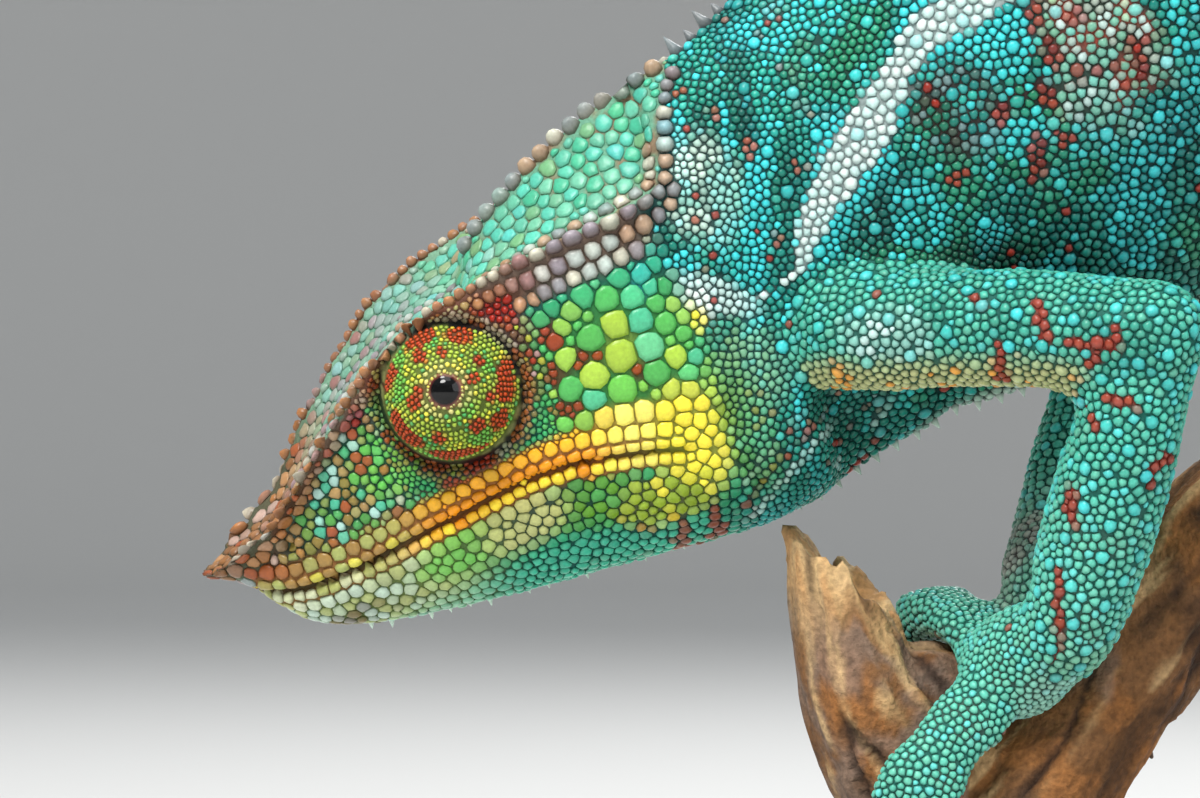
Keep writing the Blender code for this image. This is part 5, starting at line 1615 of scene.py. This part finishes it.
def paint(mesh, colour):
    layer = mesh.attributes.new("tint", "FLOAT_COLOR", "POINT")
    rgba = np.ones((len(mesh.vertices), 4), np.float32)
    rgba[:, :3] = np.clip(colour, 0, 1)
    layer.data.foreach_set("color", rgba.ravel())


def round_limb(p):
    """Order along and round the nearest limb, for the bake map."""
    along_it, round_it = np.zeros(len(p)), np.zeros(len(p))
    best = np.full(len(p), 1e9)
    for k, (joints, _) in enumerate(LIMBS.values()):
        line = along(joints, np.linspace(0, 2, 60))
        d = np.linalg.norm(p[:, None] - line[None], axis=2)
        i, low = d.argmin(1), d.min(1)
        off = p - line[i]
        new = low < best
        along_it = np.where(new, k * 60 + i, along_it)
        round_it = np.where(new, np.arctan2(off[:, 1], off[:, 2] + 0.3 * off[:, 0]), round_it)
        best = np.minimum(best, low)
    return along_it, round_it


# each scale has two triangles a side for every ring, less two, since its foot is closed
triangles_each = np.array([PROFILES[k][1] * 2 * len(PROFILES[k][0]) - 2 for k in range(6)])[root_kind]
limb_along, limb_round = round_limb(roots)
tail_s = np.zeros(len(roots))
rows = root_zone == TAIL
tail_s[rows] = tail_places(roots[rows])
tail_round = np.arctan2(roots[:, 1], roots[:, 2] - TAIL_LINE[tail_s.astype(int), 2])
side_key = np.where(roots[:, 1] < 0, v_root, 2 - v_root)
groups = (
    ("coat_head", root_zone == HEAD, (uu, np.arctan2(yy, ww - 8))),
    ("coat_eyes", np.isin(root_zone, (EYE_L, EYE_R)), (uu + 100 * (yy > 0), ww)),
    ("coat_body", root_zone == BODY, (t_root, side_key)),
    ("coat_tail", root_zone == TAIL, (tail_s, tail_round)),
    ("coat_legs", np.isin(root_zone, (UPPER, LOWER)), (limb_along, limb_round)),
    ("coat_feet", root_zone == FOOT, (limb_along + roots[:, 0] / 500, roots[:, 2])),
)
MOST_TRIANGLES = 170_000
coats = []
for name, which, keys in groups:
    rows = np.nonzero(which)[0]
    rows = rows[np.argsort(keys[0][rows], kind="stable")]
    parts = int(triangles_each[rows].sum() // MOST_TRIANGLES) + 1
    bounds = np.searchsorted(np.cumsum(triangles_each[rows]),
                             np.linspace(0, triangles_each[rows].sum(), parts + 1))
    for k in range(parts):
        label = name if parts == 1 else "%s_%d" % (name, k + 1)
        coats.append(coat_piece(label, rows[bounds[k]:bounds[k + 1] if k < parts - 1 else None], keys))
print("coat triangles:", {c.name: len(c.data.polygons) for c in coats},
      sum(len(c.data.polygons) for c in coats))
note("coat")

# ---------------------------------------------------------------- the skin as shown
SKIN_TRIANGLES = 186_000
full_skin = new_mesh("skin_work", skin_points, skin_tris, in_mm=False)
thin_points, thin_tris = settled(full_skin, "DECIMATE", ratio=SKIN_TRIANGLES / len(skin_tris))
thin_zone = zone[nearest_rows(skin_points, thin_points)]
thin_normal = normals_of(thin_points, thin_tris)
skin_top, skin_gap = marks(thin_points, thin_normal, thin_zone, np.full(len(thin_points), 0.3))
skin_mesh = new_mesh("skin", thin_points, thin_tris)
paint(skin_mesh, skin_gap * 0.75 + skin_top * 0.12)
skin = new_object("skin", skin_mesh)
note("skin of %d triangles" % len(thin_tris))


# ---------------------------------------------------------------- eyes and claws
def outward(points, tris):
    """Turns a closed body's triangles to face out."""
    p = points[tris]
    return tris if (p[:, 0] * np.cross(p[:, 1], p[:, 2])).sum() > 0 else tris[:, ::-1]


eyeballs = {}
for hand, label in ((1, "left"), (-1, "right")):
    centre, gaze = eyes[hand]
    seat = centre + gaze * (TURRET_RADIUS + 0.14 - EYEBALL_RADIUS)
    points, tris = ball(seat, EYEBALL_RADIUS, gaze, 40, 64)
    out = unit(points - seat)
    off = EYEBALL_RADIUS * np.sqrt(np.maximum(0, 1 - (out @ gaze) ** 2))
    front = out @ gaze > 0
    points = points - out * np.where(front, 0.04 * bell(off - 1.1, 0.14), 0)[:, None]
    grain = rough(points, 0.35, 81, 2)
    c = plain("black", points)
    c = lay(c, "maroon", ramp(off + 0.05 * grain, 1.19, 1.25) * 0.85)
    c = lay(c, "tan", ramp(off + 0.05 * grain, 1.28, 1.36) * 0.35)
    mesh = new_mesh("eye_" + label, points, outward(points, tris))
    paint(mesh, c)
    eyeballs[label] = new_object("eye_" + label, mesh)

claws = {}
claw_radii = [share * CLAW_RADIUS for share in (0.80, 0.78, 0.62, 0.40)] + [0.16]
for limb, runs in claw_runs.items():
    bodies, tints = [], []
    for run in runs:
        points, tris = tube(run, claw_radii, 20, 26)
        share = np.linalg.norm(points - run[0], axis=1) / np.linalg.norm(run[-1] - run[0])
        ripple = 0.03 * unit(points - along(run, 3 * np.clip(share, 0, 1)))
        points = points + ripple * np.cos(26 * share)[:, None]
        c = lay(plain("umber", points), "brown", ramp(share, 0.15, 0.5) * 0.9)
        c = lay(c, "tan", ramp(share, 0.45, 0.7) * 0.5)
        tints.append(lay(c, "umber", 0.75 * ramp(share, 0.75, 1.0)))
        bodies.append((points, outward(points, tris)))
    points, tris, _ = joined(bodies)
    mesh = new_mesh("claws_" + limb, points, tris)
    paint(mesh, np.vstack(tints))
    claws[limb] = new_object("claws_" + limb, mesh)

# ---------------------------------------------------------------- perch
BARK_VOXEL = 0.5
wood = [tube(BRANCH_PATH, BRANCH_RADIUS, 40, 120, caps=(False, False)),
        tube(STUB_PATH, STUB_RADIUS, 36, 40, caps=(True, False)),
        tube(np.array(WEB_PATH) + (1.0, 0, 0.8), tuple(1.13 * r for r in WEB_RADIUS), 30, 24)]
wood_points, wood_tris, _ = joined([(p, outward(p, t)) for p, t in wood])
wood_points, wood_tris = fused(wood_points, wood_tris, BARK_VOXEL)
wood_pairs = point_pairs(wood_tris)
wood_normal = normals_of(wood_points, wood_tris)


def wood_frame(p, path, radii):
    """Round the branch (two crossways places) and along it in millimetres, with distance and radius."""
    t, far, out, radius = wood_place(p, path, radii)
    steps = np.linspace(0, len(path) - 1, WOOD_STEPS)
    line = along(path, steps)
    gone = np.concatenate([[0], np.cumsum(np.linalg.norm(np.diff(line, axis=0), axis=1))])
    run = unit(np.stack([np.interp(t, steps, g) for g in np.gradient(line, axis=0).T], 1))
    across = unit(np.cross(run, (0, 1, 0)))
    return (out * across).sum(1) * radius, out[:, 1] * radius, np.interp(t, steps, gone), far, radius, t


main_at, stub_at = (wood_frame(wood_points, path, radii) for path, radii in WOODS[:2])
on_stub = ((stub_at[3] - stub_at[4] < main_at[3] - main_at[4]) & (stub_at[5] > 0.3))
a, b, s, far, radius, t_wood = (np.where(on_stub, n, m) for m, n in zip(main_at, stub_at))
grain = np.stack([a, b, 0.16 * s], 1)
warped = grain + 0.8 * np.stack([noise(wood_points, 6.0, 91), noise(wood_points, 6.0, 92), 0 * s], 1)
fibre = rough(warped, 1.7, 93)
crack = ramp(np.abs(rough(warped * (0.8, 0.8, 1.1), 4.6, 95, 2)), 0.10, 0.02)
flake = ramp(rough(np.stack([a, b, 0.42 * s], 1), 5.2, 97), 0.02, 0.10)
lump = rough(wood_points, 8.0, 99)
knot = rough(wood_points, 2.6, 90)
ends = ((t_wood < 0.01) | (t_wood > len(BRANCH_PATH) - 1.01)) & ~on_stub
foot_tree = kd_tree(skin_points[foot_rows])
from_foot = np.array([foot_tree.find(p)[2] for p in wood_points.tolist()])
free = ramp(from_foot, 0.6, 3.2)
crumb = rough(np.stack([a, b, 0.5 * s], 1), 1.5, 83)
relief = 0.50 * fibre + 0.50 * lump + 0.45 * flake + 0.30 * knot + 0.30 * crumb - 0.65 * crack
relief = np.where(ends, 0.1 * fibre, relief * free - 0.25 * (1 - free))
place = wood_points + wood_normal * relief[:, None]
# the broken end: a tall splinter on its outer side, a lower one beyond a split
end_near = np.where(on_stub, ramp(t_wood, 2.5, 3.9), 0)
splinter = noise(np.stack([a, b, 0 * a], 1), 1.7, 94) + 0.5 * noise(np.stack([a, b, 0 * a], 1), 0.9, 96)
side = a / np.maximum(radius, 1)
tall_side = 3.4 + 4.6 * side + 1.1 * bell(side + 0.04, 0.14) - 1.3 * bell(side - 0.2, 0.10)
top_face = np.clip(far / np.maximum(radius, 1), 0, 1)
tall_side = tall_side * (0.35 + 0.65 * top_face) + 1.3 * splinter - 1.6 * (1 - top_face)
place = place + np.array((0, 0, 1.0)) * (end_near * (tall_side - 1.0))[:, None]
place = relaxed(place, wood_pairs, 0.18, 1)
wood_mesh = new_mesh("perch_branch", place, wood_tris)
c = plain("bark", place)
c = layers(c, [
    ("ochre", ramp(rough(warped, 3.4, 88), 0.0, 0.3) * 0.6),
    ("umber", ramp(rough(wood_points, 4.5, 87), 0.0, 0.3) * 0.6),
    ("ochre", ~on_stub * ramp(rough(wood_points, 3.0, 82), 0.05, 0.3) * 0.55),
    ("ash", ramp(rough(wood_points, 8.0, 86, 2), -0.05, 0.15) * flake * np.where(on_stub, 0.9, 0.35)),
    ("ash", on_stub * ramp(rough(wood_points, 2.2, 81), -0.2, 0.2) * 0.5),
    # pale wood on the raised fibres: partly their own paler colour, partly a painted highlight on the ridges
    ("wood", ramp(fibre, 0.10, 0.36) * np.where(flake > 0.5, 0.3, 0.6)),
    # dark umber in the cracks and the low grooves between fibres: painted shade in these hollows
    ("umber", np.clip(crack * 0.9 + ramp(fibre, -0.1, -0.4) * 0.6, 0, 0.9)),
])
torn = end_near * ramp(t_wood + 0.5 * noise(np.stack([a, b, 0 * a], 1), 3.0, 85), 3.2, 3.8)
c = layers(c, [
    ("wood", torn * 0.85),
    ("ochre", torn * ramp(fibre, 0.0, 0.3) * 0.6),
    # dark umber where the broken end's splinters sink lowest: painted shade in the hollows between them
    ("umber", torn * ramp(splinter, -0.1, -0.6) * 0.75),
])
rings_cut = 0.5 + 0.5 * np.cos(2 * np.pi * (far + 0.5 * noise(wood_points, 4.0, 84)) / 0.8)
c = layers(c, [
    ("wood", ends * 0.9),
    ("bark", ends * rings_cut * 0.6),
    ("umber", ends * ramp(far - radius, -0.9, -0.4) * 0.8),
])
paint(wood_mesh, c)
perch = new_object("perch_branch", wood_mesh)
note("perch of %d triangles" % len(wood_tris))


# ---------------------------------------------------------------- stand
def turned_rings(profile, sides, x=0.0):
    """Level rings of a body turned on an upright axis; profile gives radius and height."""
    a = np.linspace(0, 2 * np.pi, sides, endpoint=False)
    rings = [np.column_stack([x + r * np.cos(a), r * np.sin(a), np.full(sides, z)]) for r, z in profile]
    return np.array(rings)


def rounded_outline(inset):
    """The base's outline with its rounded corners, drawn in by an inset."""
    places = []
    for sx, sy, first in ((1, 1, 0), (-1, 1, 90), (-1, -1, 180), (1, -1, 270)):
        a = np.radians(np.linspace(first, first + 90, CORNER_POINTS))
        r = BASE_CORNER - inset
        places.append(np.stack([sx * (BASE_SIZE[0] / 2 - BASE_CORNER) + r * np.cos(a),
                                sy * (BASE_SIZE[1] / 2 - BASE_CORNER) + r * np.sin(a)], 1))
    return np.vstack(places)


def stack(profile):
    """The base's outline, ring above ring; profile gives height and inset."""
    rings = []
    for z, inset in profile:
        outline = rounded_outline(inset)
        rings.append(np.column_stack([outline, np.full(len(outline), z)]) - OFFSET)
    return rings


deg = np.radians(np.linspace(0, 90, 9))
edge = [(BASE_SIZE[2] - BASE_BEVEL * (1 - math.sin(d)), BASE_BEVEL * (1 - math.cos(d))) for d in deg]
# a shadow line runs round the side and a groove round the top
profile = [(0.0, 1.1), (0.25, 0.45), (0.7, 0.1), (1.1, 0.0), (2.9, 0.0), (3.1, 0.35), (3.5, 0.35), (3.7, 0.0),
           (8.0, 0.0)] + edge
profile += [(BASE_SIZE[2] - drop, BASE_BEVEL + inset)
            for drop, inset in ((0, 1.2), (0.35, 1.7), (0.35, 2.2), (0, 2.7))]
profile += [(BASE_SIZE[2], 13.5)]
points, tris = loft(stack(profile))
base = new_object("stand_plate", new_mesh("stand_plate", points, outward(points, tris)))
rods = {}
for name, (x, top) in ROD_PLACES.items():
    z0 = BASE_SIZE[2]
    profile = [(z0 - 0.2, 7.1), (z0 + 0.1, 7.45), (z0 + 1.5, 7.5), (z0 + 1.9, 7.35), (z0 + 2.15, 7.0),
               (z0 + 2.2, 6.4), (z0 + 2.2, 4.6), (z0 + 2.35, 4.1), (z0 + 2.8, 3.65), (z0 + 3.4, 3.5)]
    profile += [(z, 3.5) for z in np.linspace(z0 + 6, top - 9, 12)]
    profile += [(top - 8.0, 3.5), (top - 7.9, 3.32), (top - 7.5, 3.32), (top - 7.4, 3.5), (top - 0.6, 3.5),
                (top - 0.2, 3.35), (top, 3.0)]
    points, tris = loft(turned_rings([(r, z) for z, r in profile], 40, x) - OFFSET)
    rods[name] = new_object(name.replace("stand_", "stand_steel_"),
                            new_mesh(name, points, outward(points, tris)))

# ---------------------------------------------------------------- materials
NOISE_SPAN = (0.28, 0.72)  # nearly all of a noise node's values lie between these
COLOUR_A, COLOUR_B, MIXED = 6, 7, 2  # sockets of a Mix node that mixes colours


def surface(name, grain, tones, rough_range, bump, tint=None, colours=None, stretch=(1, 1, 1),
            metallic=0.0, specular=0.5, coat=0.0, fine=None):
    """Principled material; noise of the given grain (metres) varies tone, roughness and relief."""
    material = bpy.data.materials.new(name)
    material.use_nodes = True
    tree = material.node_tree
    shader = tree.nodes["Principled BSDF"]

    def node(kind, **values):
        made = tree.nodes.new(kind)
        for key, value in values.items():
            setattr(made, key, value)
        return made

    def link(a, b):
        tree.links.new(a, b)

    place = node("ShaderNodeTexCoord")
    mapping = node("ShaderNodeMapping")
    mapping.inputs["Scale"].default_value = stretch
    link(place.outputs["Object"], mapping.inputs["Vector"])

    def noise_node(size, detail):
        made = node("ShaderNodeTexNoise")
        made.inputs["Scale"].default_value = 1 / size
        made.inputs["Detail"].default_value = detail
        link(mapping.outputs["Vector"], made.inputs["Vector"])
        return made.outputs["Fac"]

    def spread(value, low, high):
        made = node("ShaderNodeMapRange")
        for key, number in zip(("From Min", "From Max", "To Min", "To Max"), (*NOISE_SPAN, low, high)):
            made.inputs[key].default_value = number
        link(value, made.inputs["Value"])
        return made.outputs["Result"]

    coarse = noise_node(grain, 4.0)
    small = noise_node(fine or grain / 4, 3.0)
    if tint:
        colour = node("ShaderNodeAttribute", attribute_name=tint).outputs["Color"]
    else:
        mix = node("ShaderNodeMix", data_type="RGBA")
        for socket, ground in zip((COLOUR_A, COLOUR_B), colours):
            mix.inputs[socket].default_value = (*shade(ground), 1)
        link(spread(coarse, 0.0, 1.0), mix.inputs[0])
        colour = mix.outputs[MIXED]
    vary = node("ShaderNodeMix", data_type="RGBA", blend_type="MULTIPLY")
    vary.inputs[0].default_value = 1.0
    link(colour, vary.inputs[COLOUR_A])
    link(spread(small, *tones), vary.inputs[COLOUR_B])
    link(vary.outputs[MIXED], shader.inputs["Base Color"])
    link(spread(coarse, *rough_range), shader.inputs["Roughness"])
    relief = node("ShaderNodeBump")
    relief.inputs["Strength"].default_value, relief.inputs["Distance"].default_value = bump
    link(small, relief.inputs["Height"])
    link(relief.outputs["Normal"], shader.inputs["Normal"])
    shader.inputs["Metallic"].default_value = metallic
    shader.inputs["Specular IOR Level"].default_value = specular
    shader.inputs["Coat Weight"].default_value = coat
    shader.inputs["Coat Roughness"].default_value = 0.12
    return material


scale_look = surface("scales", 0.0022, (0.86, 1.10), (0.28, 0.40), (0.35, 0.00006), tint="tint",
                     specular=0.32, fine=0.0003)
skin_look = surface("skin_between", 0.0018, (0.75, 1.10), (0.55, 0.75), (0.5, 0.0001), tint="tint",
                    specular=0.2, fine=0.00025)
eye_look = surface("eye_gloss", 0.0006, (0.9, 1.05), (0.05, 0.08), (0.05, 0.00001), tint="tint", specular=0.3,
                   coat=0.12)
claw_look = surface("claw_horn", 0.0012, (0.8, 1.12), (0.32, 0.48), (0.3, 0.00006), tint="tint",
                    stretch=(1, 1, 3))
bark_look = surface("bark", 0.0035, (0.62, 1.22), (0.72, 0.92), (0.9, 0.00035), tint="tint", specular=0.3,
                    fine=0.0006)
base_look = surface("satin_black", 0.02, (0.85, 1.15), (0.34, 0.44), (0.12, 0.00004),
                    colours=("black", "ink"), fine=0.0007)
steel_look = surface("brushed_steel", 0.012, (0.86, 1.06), (0.24, 0.36), (0.15, 0.00003),
                     colours=("grey", "ash"), stretch=(9, 9, 0.6), metallic=1.0, fine=0.0012)

FLESH = ["head", "lower_jaw", "eye_turret_left", "eye_turret_right", "neck", "trunk"]
FLESH += ["tail_%d" % k for k in range(1, 7)]
FLESH += ["%s_%s" % (part_name, limb) for limb in LIMBS for part_name in ("upper_leg", "lower_leg", "foot")]
dressed = [(skin, skin_look, "skin", FLESH)] + [(coat, scale_look, "skin", ()) for coat in coats]
dressed += [(eyeballs[k], eye_look, "eye", ("eyeball_" + k,)) for k in eyeballs]
dressed += [(claws[limb], claw_look, "claw", ["claw_%s_%d" % (limb, k) for k in range(1, 6)])
            for limb in claws]
dressed += [(perch, bark_look, "bark", ("perch",)), (base, base_look, "stand_base", ("stand_base",))]
dressed += [(rod, steel_look, "stand_rod", (name,)) for name, rod in rods.items()]
for piece, look, slot_name, stands_for in dressed:
    piece.data.materials.append(look)
    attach(piece, "root")
    if stands_for:
        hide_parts(*stands_for)

# ---------------------------------------------------------------- stage, light and camera
FLOOR_RADIUS, COVE, WALL = 3.4, 1.1, 2.6
profile = [(r, 0.0) for r in (0.02, 0.5, 1.5, 2.5, FLOOR_RADIUS)]
profile += [(FLOOR_RADIUS + COVE * math.sin(a), COVE * (1 - math.cos(a)))
            for a in np.linspace(0.08, math.pi / 2, 18)]
profile += [(FLOOR_RADIUS + COVE, WALL)]
points, tris = loft(turned_rings(profile, 96))
tris = tris[(tris < len(points) - 1).all(1)]
floor = new_object("floor", new_mesh("floor", points[:-1], tris, in_mm=False))
floor_look = bpy.data.materials.new("floor_pale")
floor_look.use_nodes = True
floor_shader = floor_look.node_tree.nodes["Principled BSDF"]
floor_shader.inputs["Base Color"].default_value = (0.66, 0.66, 0.65, 1)
floor_shader.inputs["Roughness"].default_value = 0.8
floor.data.materials.append(floor_look)


LIGHTS_AIM = (-0.03, 0, 0.11)


def softbox(name, place, size, watts, colour=(1, 1, 1)):
    light = bpy.data.lights.new(name, "AREA")
    light.shape, light.size, light.energy, light.color = "DISK", size, watts, colour
    lamp = bpy.data.objects.new(name, light)
    scene.collection.objects.link(lamp)
    lamp.location = place
    lamp.rotation_euler = (Vector(LIGHTS_AIM) - Vector(place)).to_track_quat("-Z", "Y").to_euler()
    lamp.visible_camera = False


softbox("key", (-0.55, -1.05, 1.45), 0.75, 34, (1.0, 0.98, 0.95))
softbox("fill", (1.3, -1.2, 0.7), 1.3, 8, (0.95, 0.98, 1.0))
softbox("rim", (0.5, 1.5, 1.3), 1.0, 20)
softbox("top", (-0.05, -0.15, 1.25), 1.2, 8.5)
world = bpy.data.worlds.new("studio")
world.use_nodes = True
world.node_tree.nodes["Background"].inputs["Color"].default_value = (0.92, 0.96, 1.0, 1)
world.node_tree.nodes["Background"].inputs["Strength"].default_value = 0.45
scene.world = world
scene.view_settings.view_transform = "Standard"

VIEW_WIDTH, VIEW_DISTANCE, SENSOR_WIDTH = 0.1017, 0.6, 36  # the photo's width at the animal's near side
NEAR_SIDE = 0.012  # how far that side stands out from the middle plane
camera_data = bpy.data.cameras.new("camera")
camera_data.sensor_width = SENSOR_WIDTH
camera_data.lens = SENSOR_WIDTH * VIEW_DISTANCE / VIEW_WIDTH
camera_data.clip_start, camera_data.clip_end = 0.05, 50
camera = bpy.data.objects.new("camera", camera_data)
camera.location = (-0.070, -VIEW_DISTANCE - NEAR_SIDE, 0.107)
camera.rotation_euler = (math.pi / 2, 0, 0)
scene.collection.objects.link(camera)
scene.camera = camera

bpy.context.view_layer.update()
note("all")
